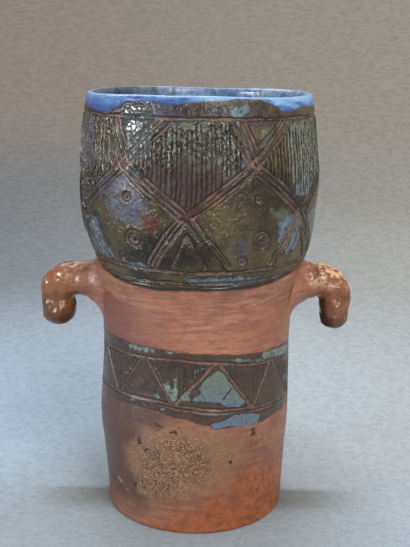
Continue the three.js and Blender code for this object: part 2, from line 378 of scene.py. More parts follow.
def wallTree():
    # a wall thrown round the middle line from its outline, then pressed by hand and carved along the strokes
    kit, ins, outs = newTree("turnedWall", "GeometryNodeTree", {
        "Geometry": "Geometry", "Facets": 360, "Pattern Radius": 0.06,
        "Bold Strokes": "Object", "Comb Strokes": "Object", "Bold Width": 0.0009, "Bold Depth": 0.0007,
        "Comb Width": 0.0007, "Comb Depth": 0.0004, "Burr": 0.00015, "Crumbs": 0.0,
        "Dents": 0.0005, "Dent Scale": 28.0, "Material": "Material",
    }, {"Geometry": "Geometry"})
    profile = ins["Geometry"]
    inputs = {"Geometry": profile}
    rows = kit.give("GeometryNodeAttributeDomainSize", "Point Count", inputs, component="MESH")
    grid = kit.give("GeometryNodeMeshGrid", "Mesh", {
        "Size X": 1.0, "Size Y": 1.0, "Vertices X": ins["Facets"] + 1.0, "Vertices Y": rows})
    index = kit.give("GeometryNodeInputIndex")
    column = kit.calc("FLOOR", (index + 0.5) / rows)
    row = index - column * rows
    turn = column * (2 * math.pi) / ins["Facets"] - math.pi
    position = kit.give("GeometryNodeInputPosition")

    def fromProfile(value, kind):
        inputs = {"Geometry": profile, "Value": value, "Index": row}
        return kit.give("GeometryNodeSampleIndex", 0, inputs, data_type=kind, domain="POINT")

    def store(geometry, name, value, kind="FLOAT"):
        inputs = {"Geometry": geometry, "Name": name, "Value": value}
        return kit.give("GeometryNodeStoreNamedAttribute", 0, inputs, data_type=kind, domain="POINT")

    def distanceTo(strokes):
        lines = kit.give("GeometryNodeObjectInfo", "Geometry", {"Object": ins[strokes]})
        inputs = {"Geometry": lines, "Sample Position": kit.stored("flat", "FLOAT_VECTOR")}
        near = kit.put("GeometryNodeProximity", inputs, target_element="EDGES").outputs
        found, distance = Signal(kit, near["Is Valid"]), Signal(kit, near["Distance"])
        inputs = {"Switch": found, "False": 0.05, "True": distance}
        return kit.give("GeometryNodeSwitch", 0, inputs, input_type="FLOAT")

    def cutAcross(distance, width, inner):
        # 1 in the middle of a stroke, 0 from its edge on, deeper where the hand pressed harder
        return distance.ease(ins[width] * inner, ins[width], 1.0, 0.0) * press

    spot = kit.parts(fromProfile(position, "FLOAT_VECTOR"))
    flatUp = fromProfile(kit.stored("flatUp"), "FLOAT")
    place = kit.join(spot[0] * kit.calc("SINE", turn), spot[0] * (kit.calc("COSINE", turn) * -1.0), spot[2])
    wall = kit.give("GeometryNodeSetPosition", 0, {"Geometry": grid, "Position": place})
    wall = store(wall, "flat", kit.join(turn * ins["Pattern Radius"], flatUp), "FLOAT_VECTOR")
    wall = store(wall, "boldDistance", distanceTo("Bold Strokes"))
    wall = store(wall, "combDistance", distanceTo("Comb Strokes"))
    # closed before it is pressed, so that both sides of the seam move together
    wall = kit.give("GeometryNodeMergeByDistance", 0, {"Geometry": wall, "Distance": 0.00002})

    kit.vector = position
    bold, comb = kit.stored("boldDistance"), kit.stored("combDistance")
    press = kit.grain(160.0).ease(0.3, 0.7, 0.55, 1.15)
    cut = kit.most(cutAcross(bold, "Bold Width", 0.3) * ins["Bold Depth"],
                   cutAcross(comb, "Comb Width", 0.25) * ins["Comb Depth"])
    width = ins["Bold Width"]
    burr = bold.ease(width, width * 1.5) * bold.ease(width * 1.6, width * 2.6, 1.0, 0.0)
    small = kit.grain(ins["Dent Scale"] * 5.0, 1.0) - 0.5
    dents = kit.grain(ins["Dent Scale"], 1.0) - 0.5 + small * 0.3
    crumbs = (kit.grain(480.0, 1.0) - 0.5) * comb.ease(0.0012, 0.0026, 2.0, 0.0)
    raised = dents * ins["Dents"] + (burr * ins["Burr"] + crumbs * ins["Crumbs"]) - cut
    offset = kit.grow(kit.give("GeometryNodeInputNormal"), raised)
    wall = kit.give("GeometryNodeSetPosition", 0, {"Geometry": wall, "Offset": offset})
    real = kit.give("GeometryNodeRealizeInstances", 0, {"Geometry": wall})
    real = kit.give("GeometryNodeSetMaterial", 0, {"Geometry": real, "Material": ins["Material"]})
    kit.plug(real, outs["Geometry"])
    return kit.tree


strokes = strokeTree()
walls = wallTree()
noStrokes = 900  # mm; a height on the flat pattern that no stroke comes near


def drawStrokes(name, guides, spec, style):
    # guides: (corners as (angle, height), side-by-side lines, their pitch, copies round the vase), mm
    radius = spec["patternRadius"]
    points, edges, lines, pitches, turns = [], [], [], [], []
    for corners, count, pitch, copies in guides:
        first = len(points)
        points += [(math.radians(a) * radius * mm, h * mm, 0) for a, h in corners]
        edges += [(first + i, first + i + 1) for i in range(len(corners) - 1)]
        lines += [count] * len(corners)
        pitches += [pitch * mm] * len(corners)
        turns += [copies] * len(corners)
    guide = newObject(name, points, edges)
    guide.data.attributes.new("lines", "INT", "POINT").data.foreach_set("value", lines)
    guide.data.attributes.new("turns", "INT", "POINT").data.foreach_set("value", turns)
    addField(guide.data, "pitch", pitches)
    modifier = guide.modifiers.new("strokes", "NODES")
    modifier.node_group = strokes
    setInputs(modifier, {
        "Radius": radius * mm, "Step Angle": 360.0 / spec["cells"], "Wobble": style["wobble"] * mm,
        "Wobble Scale": style["wobbleScale"], "Jitter": style["jitter"] * mm,
        "Uneven Ends": style["unevenEnds"], "Seed": style["seed"],
    })
    return guide


def turnWall(name, outline, flatUp, material, spec, bold=None, comb=None):
    # outline in mm as (radius, height), closed by repeating its first point; the result is a plain mesh
    steps = [(i, i + 1) for i in range(len(outline) - 1)]
    piece = newObject(name, [(r * mm, 0, h * mm) for r, h in outline], steps)
    addField(piece.data, "flatUp", np.array(flatUp) * mm)
    modifier = piece.modifiers.new("wall", "NODES")
    modifier.node_group = walls
    setInputs(modifier, {
        "Facets": spec["facets"], "Pattern Radius": spec["patternRadius"] * mm, "Bold Strokes": bold,
        "Comb Strokes": comb, "Material": material, "Dent Scale": spec.get("dentScale", 28.0),
        **{label: value * mm for label, value in spec["pressing"].items()},
    })
    ready = piece.evaluated_get(bpy.context.evaluated_depsgraph_get())
    mesh = bpy.data.meshes.new_from_object(ready)
    piece.modifiers.clear()
    piece.data = mesh
    mesh.name = name
    for guide in (bold, comb):
        if guide:
            bpy.data.objects.remove(guide)
    return piece


# shader groups

def specksGroup():
    # fine dark and light grains in the clay and the glaze
    sockets = {"Vector": "Vector", "Scale": 900.0, "Share": 0.35}
    kit, ins, outs = newTree("clayGrains", "ShaderNodeTree", sockets, {"Mask": "Float"})
    low = 0.78 - ins["Share"] * 0.4
    kit.plug(kit.grain(ins["Scale"], 1.0, 0.6).ease(low, low + 0.08), outs["Mask"])
    return kit.tree


def crackleGroup():
    # a net of fine cracks, and one tone for each island between them
    sockets = {"Vector": "Vector", "Cell Size": 0.002, "Crack Width": 0.12}
    kit, ins, outs = newTree("crackleNet", "ShaderNodeTree", sockets, {"Crack": "Float", "Tone": "Float"})
    shake = kit.vec("SUBTRACT", kit.grain(450.0, out="Color"), (0.5, 0.5, 0.5))
    bent = kit.vec("ADD", ins["Vector"], kit.grow(shake, 0.0008))
    cells = {"Vector": bent, "Scale": kit.calc("DIVIDE", 1.0, ins["Cell Size"])}
    edge = kit.give("ShaderNodeTexVoronoi", "Distance", cells, feature="DISTANCE_TO_EDGE")
    cell = kit.give("ShaderNodeTexVoronoi", "Color", cells, feature="F1")
    kit.plug(edge.ease(0.02, ins["Crack Width"], 1.0, 0.0), outs["Crack"])
    kit.plug(kit.parts(cell)[0], outs["Tone"])
    return kit.tree


def brokenEdgeGroup():
    # turns a signed distance into a patch with a ragged edge, and the line where glaze thins out
    kit, ins, outs = newTree("brokenEdge", "ShaderNodeTree", {
        "Vector": "Vector", "Field": 0.0, "Break Up": 0.004, "Scale": 260.0, "Softness": 0.0004,
        "Outline Width": 0.0007,
    }, {"Mask": "Float", "Outline": "Float"})
    field = ins["Field"] + (kit.grain(ins["Scale"], 3.0, 0.6) - 0.5) * ins["Break Up"]
    kit.plug(field.ease(ins["Softness"] * -1.0, ins["Softness"]), outs["Mask"])
    width = ins["Outline Width"]
    kit.plug(kit.calc("ABSOLUTE", field).ease(width * 0.4, width, 1.0, 0.0), outs["Outline"])
    return kit.tree


clayHue = palette(
    salmon=(179, 118, 89), rose=(150, 94, 79), wiped=(188, 132, 102), streak=(144, 92, 74),
    brown=(136, 86, 66), orange=(196, 110, 58), ember=(150, 80, 46), tan=(177, 131, 97),
    tanDark=(164, 119, 88), tanLight=(214, 172, 126), crack=(74, 46, 34), smoke=(94, 70, 60),
    smokeBrown=(112, 74, 54), deep=(64, 40, 31), speck=(84, 56, 46), pale=(200, 160, 128),
)


def clayGroup():
    # bare red clay: salmon where wiped, smoky and tan areas, an orange flush, grains, wipes and crackle
    kit, ins, outs = newTree("stonewareClay", "ShaderNodeTree", {
        "Vector": "Vector", "Smoke": 0.0, "Tan": 0.0, "Net": 0.0, "Flush": 0.0, "Deep": 0.0,
    }, {"Color": "Color", "Roughness": "Float", "Height": "Float"})
    hue = clayHue
    broad = kit.grain(45.0, 3.0, 0.55)
    mottle = kit.grain(230.0, 3.0, 0.65)
    wiped = kit.grain(1.0, 3.0, 0.6, stretch=(70, 70, 520))
    dark = kit.use(specks)["Mask"]
    aside = kit.vec("ADD", ins["Vector"], (0.31, 0.17, 0.05))
    light = kit.use(specks, {"Vector": aside, "Scale": 620.0, "Share": 0.3})["Mask"]
    net = kit.use(crackle, {"Cell Size": 0.0014, "Crack Width": 0.2})
    tanned = kit.tint(mottle.ease(0.3, 0.68), hue.tan, hue.tanDark)
    cracked = net["Crack"] * kit.grain(90.0).ease(0.38, 0.54, 0.5, 1.0) * kit.mix(ins["Net"], 0.22, 0.9)
    tanned = kit.tint(cracked, tanned, hue.crack)
    islands = net["Tone"].ease(0.35, 0.8) * (1.0 - net["Crack"]) * kit.mix(ins["Net"], 0.2, 0.75)
    tanned = kit.tint(islands, tanned, hue.tanLight)
    color = kit.tint(broad.ease(0.35, 0.65), hue.salmon, hue.rose)
    for mask, tone in (
        (wiped.ease(0.46, 0.64, 0.0, 0.8), hue.wiped),
        (wiped.ease(0.48, 0.34, 0.0, 0.75), hue.streak),
        (mottle.ease(0.45, 0.7) * 0.45, hue.brown),
        (ins["Flush"], kit.tint(mottle.ease(0.35, 0.7), hue.orange, hue.ember)),
        (ins["Smoke"], kit.tint(mottle.ease(0.35, 0.7), hue.smoke, hue.smokeBrown)),
        (ins["Tan"], tanned), (ins["Deep"], hue.deep), (dark * 0.35, hue.speck), (light * 0.12, hue.pale),
    ):
        color = kit.tint(mask, color, tone)
    kit.plug(color, outs["Color"])
    kit.plug((mottle + wiped * 0.5).ease(0.4, 1.0, 0.3, 0.52), outs["Roughness"])
    pits = dark * 0.2 + cracked * ins["Tan"] * 0.7
    kit.plug(mottle * 0.5 + wiped * 0.35 - pits, outs["Height"])
    return kit.tree


specks = specksGroup()
crackle = crackleGroup()
brokenEdge = brokenEdgeGroup()
clay = clayGroup()
print("node groups ready")


def newMaterial(name):
    material = bpy.data.materials.new(name)
    material.use_nodes = True
    kit = NodeKit(material.node_tree)
    kit.vector = kit.give("ShaderNodeTexCoord", "Object")
    shader = next(node for node in material.node_tree.nodes if node.type == "BSDF_PRINCIPLED")
    return material, kit, shader


def dress(kit, shader, color, roughness, height, strength, depth):
    kit.plug(color, shader.inputs["Base Color"])
    kit.plug(roughness, shader.inputs["Roughness"])
    bump = kit.give("ShaderNodeBump", 0, {"Strength": strength, "Distance": depth, "Height": height})
    kit.plug(bump, shader.inputs["Normal"])


# bowl

bowl = {
    "facets": 620, "patternRadius": 66, "rowHeight": 0.8, "dipInside": 242,
    "cells": 6, "nodeAngle": -5, "lowerNode": 188.5, "upperNode": 215, "topBorder": 239, "legFoot": 160.5,
    "lowBorders": (159.5, 152.6), "rightArm": 22, "leftArm": 9, "legSpread": 19, "combPitch": 2.5,
    "rings": ((5, 176, 2.2), (5, 176, 4.6), (-4.5, 164.5, 1.9), (2, 198, 1.8)),  # angle, height, radius
    "pressing": {"Bold Width": 1.25, "Bold Depth": 0.75, "Comb Width": 0.75, "Comb Depth": 0.5,
                 "Crumbs": 0.7, "Dents": 0.9},
    "boldStyle": {"wobble": 0.9, "wobbleScale": 75.0, "jitter": 0.3, "unevenEnds": 0.05, "seed": 3},
    "combStyle": {"wobble": 0.75, "wobbleScale": 150.0, "jitter": 0.4, "unevenEnds": 0.14, "seed": 8},
    "hue": palette(
        olive=(95, 85, 52), oliveDark=(52, 42, 28), brown=(80, 52, 38), green=(90, 100, 88),
        greenPale=(122, 134, 122), violet=(32, 34, 52), violetPale=(84, 90, 124), rust=(70, 32, 24),
        rustPale=(108, 54, 42), blue=(86, 106, 124), bluePale=(128, 146, 156), line=(126, 102, 91),
        lineRust=(124, 86, 72), edge=(32, 26, 23), comb=(34, 19, 12), combBrown=(72, 42, 28),
        fleck=(122, 116, 98), ridge=(136, 140, 126), ridgeWarm=(150, 138, 128), rim=(92, 133, 196),
        rimPale=(158, 204, 248), rimThin=(70, 64, 92), rimDeep=(66, 90, 154), rimWhite=(208, 222, 232),
        inside=(96, 132, 184), insidePale=(186, 208, 236), insideDark=(58, 72, 78), strip=(38, 39, 60),
        stripPale=(84, 68, 70),
    ),
    "rimEdge": {
        -180: 243, -150: 246, -120: 241.5, -90: 244.5, -70: 243.2, -54: 240.9, -48: 241.1, -40: 243.6,
        -36: 246.2, -24: 247, -13: 245.4, 0: 247.3, 21: 249.1, 30: 249.6, 38: 246, 42.5: 242.5, 49: 243,
        61: 245, 90: 243, 120: 247, 140: 244.5, 165: 241.5,
    },
    "glazeEdge": {
        -180: 150.5, -150: 149, -110: 152.5, -75: 152.6, -49: 149.4, -22: 147.2, -9: 148.4, 6: 148.4,
        34: 148.8, 53: 150.8, 75: 153.2, 110: 152, 145: 148.5,
    },
}


def bowlGuides():
    cells, left = bowl["cells"], bowl["nodeAngle"]
    step = 360 / cells
    low, up, top, foot = bowl["lowerNode"], bowl["upperNode"], bowl["topBorder"], bowl["legFoot"]
    right = left + step / 2
    spread, armRight, armLeft = bowl["legSpread"], bowl["rightArm"], bowl["leftArm"]
    copies = cells + 3
    bold = [
        ([(left, low), (right, up), (right + armRight, top)], 2, 4.4, copies),
        ([(left, low), (left - step / 2, up), (left - step / 2 - armLeft, top)], 3, 2.9, copies),
        ([(left - 1, low), (left - spread, foot)], 3, 2.4, copies),
        ([(left + 1, low), (left + spread, foot)], 2, 3.6, copies),
        ([(left, low - 9), (left - spread * 0.42, foot + 1)], 1, 0, copies),
        ([(left, low - 9), (left + spread * 0.42, foot + 1)], 1, 0, copies),
        ([(right + 1.5, up + 9), (right + armRight - 6, top - 1)], 1, 0, copies),
        ([(right + 1.5, up + 9), (right - armLeft + 5, top - 1)], 1, 0, copies),
    ]
    circle = range(-195, 196, 5)
    bold.append(([(a, top) for a in circle], 1, 0, 1))
    for border in bowl["lowBorders"]:
        bold.append(([(a, border - 0.9 * math.cos(math.radians(a + 20))) for a in circle], 1, 0, 1))
    # small stamped rings in the plain fields between the legs
    for aside, height, r in bowl["rings"]:
        bold.append(([
            (right + aside + math.degrees(r * math.cos(t) / bowl["patternRadius"]), height + r * math.sin(t))
            for t in np.linspace(0, 2 * math.pi, 15)], 1, 0, copies))
    comb = []
    slope = (up - low) / (step / 2)
    half = int(step / 2 * math.radians(1) * bowl["patternRadius"] / bowl["combPitch"])
    leftTop, rightTop = -step / 2 + armRight + 2, step / 2 - armLeft - 2
    for i in range(-half + 2, half - 1):
        offset = math.degrees(i * bowl["combPitch"] / bowl["patternRadius"])
        bottom = low + abs(offset) * slope + 3.2
        ceiling = top - 1.5
        if offset < leftTop:
            ceiling = up + (offset + step / 2) / armRight * (top - up) - 3.5
        if offset > rightTop:
            ceiling = min(ceiling, up + (step / 2 - offset) / armLeft * (top - up) - 3.5)
        if ceiling - bottom > 5:
            middle = (left + offset + 0.5, (bottom + ceiling) / 2)
            comb.append(([(left + offset, bottom), middle, (left + offset, ceiling)], 1, 0, copies))
    return bold, comb


def bowlMaterial():
    material, kit, shader = newMaterial("carvedGlaze")
    hue = bowl["hue"]
    broad = kit.grain(38.0, 3.0, 0.6)
    mottle = kit.grain(260.0, 4.0, 0.65)
    flecks = kit.grain(640.0, 3.0, 0.7)
    fine = kit.grain(1100.0, 2.0, 0.6)
    drips = kit.grain(1.0, 3.0, 0.6, stretch=(420, 420, 60))
    runs = kit.grain(1.0, 3.0, 0.6, 0.6, stretch=(170, 170, 75))
    bands = kit.grain(1.0, 3.0, 0.6, 0.4, stretch=(75, 75, 330))
    bold, comb = kit.field("boldDistance"), kit.field("combDistance")
    x, _, z = kit.parts(kit.vector)

    color = kit.tint(broad.ease(0.38, 0.62), hue.oliveDark, hue.olive)
    deep, _ = kit.ragged("darkField", 14, 90.0, 5)
    color = kit.tint(deep * 0.88, color, hue.edge)
    color = kit.tint(mottle.ease(0.48, 0.68) * 0.55, color, hue.brown)
    patch = {}
    for name, dim, pale, strength, breakUp, scale, softness in (
        ("green", hue.green, hue.greenPale, 0.8, 16, 170.0, 1.8),
        ("violet", hue.violet, hue.violetPale, 0.85, 9, 170.0, 3.0),
        ("rust", hue.rust, hue.rustPale, 0.85, 12, 150.0, 1.8),
        ("strip", hue.strip, hue.stripPale, 0.85, 6, 220.0, 1.0),
        ("blue", hue.blue, hue.bluePale, 0.9, 6, 300.0, 0.5),
    ):
        mask, outline = kit.ragged(name + "Field", breakUp, scale, softness, 0.9)
        patch[name] = mask * kit.mix(0.6, mottle, flecks).ease(0.36, 0.52, 0.35, 1.0)
        if name == "blue":
            color = kit.tint(outline * 0.7, color, hue.edge)
        tone = kit.tint(kit.mix(0.45, mottle, flecks).ease(0.42, 0.6), dim, pale)
        color = kit.tint(patch[name] * strength, color, tone)
    color = kit.tint(flecks.ease(0.54, 0.66) * 0.55, color, hue.edge)
    color = kit.tint(flecks.ease(0.42, 0.3) * 0.35, color, hue.fleck)

    # combed ridges are rubbed lighter and carry a painted highlight broken into beads, dark between them;
    # their grooves hold dark glaze
    combed = comb.ease(0.0016, 0.0024, 1.0, 0.0)
    dragged = combed * patch["rust"]
    glintBeads = kit.grain(760.0, 1.5, 0.6, stretch=(1, 1, 0.7)).ease(0.46, 0.56)
    rough, _ = kit.ragged("beadField", 14, 150.0, 3)
    broken = kit.mix(rough, 1.0, glintBeads)
    warm, _ = kit.ragged("warmField", 8, 120.0, 3)
    color = kit.tint(combed * (1.0 - broken) * 0.85, color, hue.comb)
    ridge = comb.ease(0.0005, 0.001) * combed * broken
    ridge = ridge * kit.mix(0.5, drips, flecks).ease(0.42, 0.58, 0.25, 1.0)
    ridge = ridge * kit.mix(kit.most(patch["green"], warm), 0.12, 0.75) * kit.mix(patch["rust"], 1.0, 0.12)
    color = kit.tint(ridge, color, kit.tint(warm, hue.ridge, hue.ridgeWarm))
    draggedTone = kit.tint(kit.mix(0.4, drips, flecks).ease(0.42, 0.6), hue.comb, hue.combBrown)
    color = kit.tint(dragged * 0.95, color, draggedTone)
    groove = comb.ease(0.0003, 0.0008, 1.0, 0.0)
    color = kit.tint(groove * kit.mix(patch["rust"], 0.9, 0.6), color, hue.comb)

    # bold lines cut through to the clay, with dark glaze drawn back along both sides
    bold = bold + kit.grain(95.0).ease(0.36, 0.62, 0.0006, 0.0)
    color = kit.tint(bold.ease(0.0012, 0.0019, 1.0, 0.0) * 0.72, color, hue.edge)
    core = bold.ease(0.0006, 0.0012, 1.0, 0.0)
    wear = kit.mix(0.5, mottle, flecks).ease(0.42, 0.6, 1.0, 0.25)
    lineTone = kit.tint(broad.ease(0.45, 0.6), hue.line, hue.lineRust)
    pool, _ = kit.ragged("shineField", 9, 170.0, 1.2)
    color = kit.tint(core * wear * (1.0 - pool * 0.6), color, lineTone)
    grains = kit.use(specks, {"Scale": 800.0, "Share": 0.4})["Mask"]
    color = kit.tint(grains * 0.3, color, hue.edge)

    # the blue dip over the rim, thin and violet along its edge
    thin, _ = kit.ragged("rimField", 5.0, 120.0, 2.4)
    thick, _ = kit.ragged("rimField", 2.6, 210.0, 0.9, vector=kit.vec("ADD", kit.vector, (0, 0, 0.0009)))
    color = kit.tint(thin * flecks.ease(0.35, 0.55, 0.35, 0.9), color, hue.rimThin)
    depth = kit.field("rimField") + (kit.mix(0.7, runs, bands) - 0.5) * 0.008
    blue = kit.tint(depth.ease(0.0, 0.005), hue.rimDeep, hue.rim)
    # the blue is paler towards the top and to the right, and in streaks
    paleShare = z.ease(0.2425, 0.2495, 0.0, 0.45) + x.ease(-0.035, 0.05, 0.0, 0.3) + (bands - 0.5) * 1.6
    blue = kit.tint(paleShare.ease(0.25, 0.85, 0.0, 0.75), blue, hue.rimPale)
    # a painted highlight along the lip's top, pale blue and white in spots
    lip = kit.field("lipHighlightField") + (kit.mix(0.5, runs, broad) - 0.5) * 2.2
    blue = kit.tint(lip.ease(0.1, 0.9), blue, hue.rimPale)
    blue = kit.tint(lip.ease(0.6, 1.1) * mottle.ease(0.45, 0.6), blue, hue.rimWhite)
    color = kit.tint(thick, color, blue)

    # the inside, with dark patches and painted shade towards the left, rusty runs and a fine crackle
    inside = kit.field("insideField")
    leftShade = (x + (broad - 0.5) * 0.05).ease(-0.02, -0.04)
    shaded = kit.most(kit.mix(0.5, broad, runs).ease(0.5, 0.58), leftShade)
    inner = kit.tint(runs.ease(0.35, 0.65), hue.inside, hue.insidePale)
    inner = kit.tint(shaded * 0.75, inner, hue.insideDark)
    inner = kit.tint(kit.mix(0.5, broad, drips).ease(0.44, 0.38) * 0.4, inner, hue.strip)
    net = kit.use(crackle, {"Cell Size": 0.0024, "Crack Width": 0.08})["Crack"]
    color = kit.tint(inside, color, kit.tint(net * 0.3, inner, hue.insideDark))

    # bare foot below the glaze's wavy edge
    bare = kit.use(clay, {"Deep": 0.25})
    glazed, glazeRim = kit.ragged("glazeField", 1.6, 180.0, 0.25, 1.3)
    color = kit.tint(glazeRim * 0.85, color, hue.edge)

    # thick glossy pools, on the outside only, crawled into winding creases; a painted highlight lightens the
    # pools, and their creases are painted dark, partly as thin glaze and partly as painted shade
    pool = pool * (1.0 - inside)
    winding = kit.calc("PINGPONG", kit.grain(240.0, 1.0, 0.5, 1.0, stretch=(1, 1, 0.8)) * 3.4, 0.5)
    crawled = kit.use(crackle, {"Cell Size": 0.0032, "Crack Width": 0.15})["Crack"]
    crease = kit.most(winding.ease(0.06, 0.17, 1.0, 0.0), crawled) * pool
    color = kit.tint(crease * 0.9, kit.tint(pool * 0.3, color, hue.bluePale), hue.edge)

    gloss = kit.mix(core * 0.8, mottle.ease(0.35, 0.7, 0.15, 0.32), 0.42)
    gloss = kit.mix(kit.most(patch["violet"] * 0.45, dragged), gloss, 0.55)
    gloss = kit.mix(pool, gloss, kit.mix(crease, 0.08, 0.4))
    ripple = kit.grain(430.0, 2.0, 0.55, 1.0)
    calm = kit.most(patch["violet"], patch["rust"])
    height = ripple * kit.mix(calm, 0.8, 0.3) + (mottle * 0.3 + fine * 0.08) - (groove * 0.5 + core * 0.5)
    height = kit.mix(kit.most(thick, inside), height, mottle * 0.25)
    height = kit.mix(pool * (1.0 - core), height, ripple * 0.24 - crease * 0.55)
    color = kit.tint(glazed, bare["Color"], color)
    dress(kit, shader, color, kit.mix(glazed, bare["Roughness"], gloss), height, 0.8, 0.001)
    return material


# where each tone and surface of the glaze lies: outlines drawn as (angle, height) corners
bowlPatches = {
    "violetField": [
        ((-45.5, 194.5), (-30, 203.5), (-21.5, 196), (-27.5, 181.5), (-38, 184.5)), ((-52, 207.5),
        (-33, 209.5), (-31.5, 205), (-41.5, 198), (-49.5, 195.5)), ((14, 172), (20, 176), (24, 170),
        (18, 166)), ((-24, 246), (-13, 247), (-7, 242), (-10, 236), (-21, 235)), ((-76, 236), (-57, 239),
        (-56, 214), (-72, 208)), ((96, 200), (112, 208), (118, 190), (104, 182)), ((-160, 180),
        (-145, 196), (-134, 184), (-146, 170)), ((150, 222), (166, 230), (172, 216), (158, 210)),
    ],
    "rustField": [
        ((-24.5, 188), (-19.5, 191), (-17, 187), (-19, 177.5), (-24.5, 179.5)), ((-9, 188), (-4, 196),
        (3, 187), (-2, 182)), ((-24, 208), (-18, 217), (-12, 209), (-6, 220), (0, 210), (6, 219),
        (12, 208), (18, 214), (-4, 187)), ((20, 218), (28, 219), (27, 210), (19, 208)), ((74, 176),
        (86, 190), (94, 178), (84, 168)), ((-118, 206), (-104, 216), (-96, 200), (-108, 194)),
        ((136, 176), (146, 188), (156, 174), (146, 166)),
    ],
    "blueField": [
        ((-59, 185), (-53, 183.5), (-49.5, 169), (-45, 162.5), (-61, 161), (-65, 172)), ((39, 185),
        (46, 188), (54, 188.5), (57, 178.5), (54, 168), (46, 166), (40, 174)), ((55, 210.5), (63, 207.5),
        (62, 196.5), (48.5, 197.5), (47, 201)), ((-38, 161), (-29, 162), (-23.5, 160), (-25, 158),
        (-36, 158.6)), ((-7, 155.4), (25, 155.2), (37, 152.8), (23, 150.4), (-4, 151.6)), ((14, 245),
        (23.5, 246.5), (24, 242), (18.5, 239), (13.5, 241)), ((15, 217), (22, 219), (24, 213)),
        ((88, 160), (104, 163), (110, 158), (92, 156)), ((-120, 162), (-98, 164), (-96, 158),
        (-116, 157)), ((160, 198), (176, 204), (182, 188), (168, 184)), ((120, 236), (134, 238),
        (136, 226), (124, 224)), ((-96, 232), (-84, 236), (-80, 222), (-92, 220)), ((-170, 158),
        (-150, 160), (-150, 155), (-168, 154)),
    ],
    "greenField": [
        ((-42, 236), (-37, 238), (-36, 222), (-41, 220)), ((-12, 240), (24, 240), (25, 228), (21, 214),
        (15, 221), (9, 214), (3, 222), (-3, 216), (-9, 223), (-14, 217)), ((40, 238), (76, 238),
        (76, 205), (47, 206)), ((28.5, 234.5), (34.5, 235), (35, 226.5), (29, 226)), ((34, 190.5),
        (42.5, 191.5), (47, 184.5), (39.5, 184)), ((-31, 236), (-22, 238), (-20, 226), (-28, 222)),
        ((94, 236), (124, 238), (120, 212), (98, 216)), ((-92, 238), (-66, 238), (-64, 212), (-90, 216)),
        ((-150, 236), (-120, 238), (-122, 214), (-146, 216)), ((148, 236), (186, 238), (182, 214),
        (152, 216)), ((62, 186), (78, 190), (76, 168), (64, 170)),
    ],
    "warmField": [
        ((-72, 240), (-46, 241), (-43, 216), (-70, 208)), ((110, 238), (128, 240), (124, 216),
        (112, 212)), ((-172, 236), (-156, 238), (-158, 212), (-170, 214)),
    ],
    "darkField": [
        ((-28, 178), (-10, 184), (-14, 162), (-32, 163)), ((-4, 184), (8, 174), (10, 164), (-14, 164)),
        ((-18, 214), (12, 214), (0, 192), (-10, 192)), ((60, 182), (84, 176), (80, 160), (62, 162)),
        ((-100, 186), (-76, 182), (-80, 162), (-104, 162)), ((176, 184), (200, 180), (196, 162),
        (172, 164)),
    ],
    "stripField": [
        ((-14, 244), (10, 246), (34, 246), (34, 239.5), (-14, 239.5)), ((20, 243), (36, 243), (36, 236),
        (24, 234)), ((80, 244), (112, 244), (112, 239.5), (80, 239.5)), ((-130, 243), (-98, 244),
        (-98, 239.5), (-130, 239.5)),
    ],
    "shineField": [
        ((-34, 213), (-29, 215), (-25, 210), (-29, 207)), ((-34.5, 246), (-24, 247), (-20.5, 239),
        (-21.5, 228), (-24.5, 218), (-29, 216), (-33.5, 221), (-36, 232), (-36.5, 241)), ((96, 222),
        (104, 228), (108, 214), (99, 208)), ((168, 236), (178, 240), (176, 222), (168, 224)),
        ((-108, 190), (-100, 196), (-98, 182), (-106, 178)),
    ],
    "beadField": [
        ((-13, 240), (25, 242), (30, 230), (26, 209), (20, 219), (14, 211), (7, 220), (1, 213), (-6, 221),
        (-12, 213), (-18, 219), (-24, 209), (-19, 226)), ((104, 240), (140, 240), (130, 212), (116, 200),
        (104, 212)), ((-142, 240), (-110, 240), (-116, 212), (-128, 200), (-142, 214)),
    ],
}


def makeBowl():
    base, wall, rim = form["bowlBase"], form["bowlWall"], form["rimRadius"]
    outer = [(bowlRadius(h), h) for h in np.arange(base, rimCentre, bowl["rowHeight"])]
    lip = [(rim - wall / 2 + wall / 2 * math.cos(t), rimCentre + wall / 2 * math.sin(t))
           for t in np.linspace(0, math.pi, 9)]
    inner = [(bowlRadius(h) - wall, h) for h in np.linspace(rimCentre, base, 16)[1:]]
    outline = outer + lip + inner + [outer[0]]
    flatUp = [h for r, h in outer + lip[:4]]
    flatUp += [noStrokes] * (len(outline) - len(flatUp))
    boldGuides, combGuides = bowlGuides()
    bold = drawStrokes("bowlLines", boldGuides, bowl, bowl["boldStyle"])
    comb = drawStrokes("bowlComb", combGuides, bowl, bowl["combStyle"])
    piece = turnWall("carvedBowl", outline, flatUp, bowlMaterial(), bowl, bold, comb)
    mesh = piece.data
    points = pointsOf(mesh) / mm
    angles, heights = anglesOf(points), points[:, 2]
    reach = np.hypot(points[:, 0], points[:, 1])
    # the wall's middle separates outside from inside; the lip's top is a half-and-half line
    middle = np.where(heights > rimCentre, rim - wall / 2, bowlRadius(heights) - wall / 2)
    outside = (reach - middle) / (wall / 2)
    onLip = np.clip(1 - np.abs(outside - 0.25) * 1.4, 0, 1) * (heights > rimCentre - 0.5)
    dipped = (outside < 0.6) & (heights > bowl["dipInside"])
    addField(mesh, "insideField", np.clip(0.1 - outside * 2.2, 0, 1))
    addField(mesh, "lipHighlightField", onLip)
    for name, edge, always in (("rimField", "rimEdge", dipped), ("glazeField", "glazeEdge", outside < 0)):
        above = (heights - aroundTable(bowl[edge], angles)) * mm
        addField(mesh, name, np.where(always, 0.01, above))
    addPatches(mesh, bowlPatches, points, bowl["patternRadius"])
    setPoints(mesh, handMade(points) * mm)
    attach(piece, "root")
    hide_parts("bowl_wall")
    return piece


bowlPiece = makeBowl()
print("bowl carved and glazed")


# cylinder

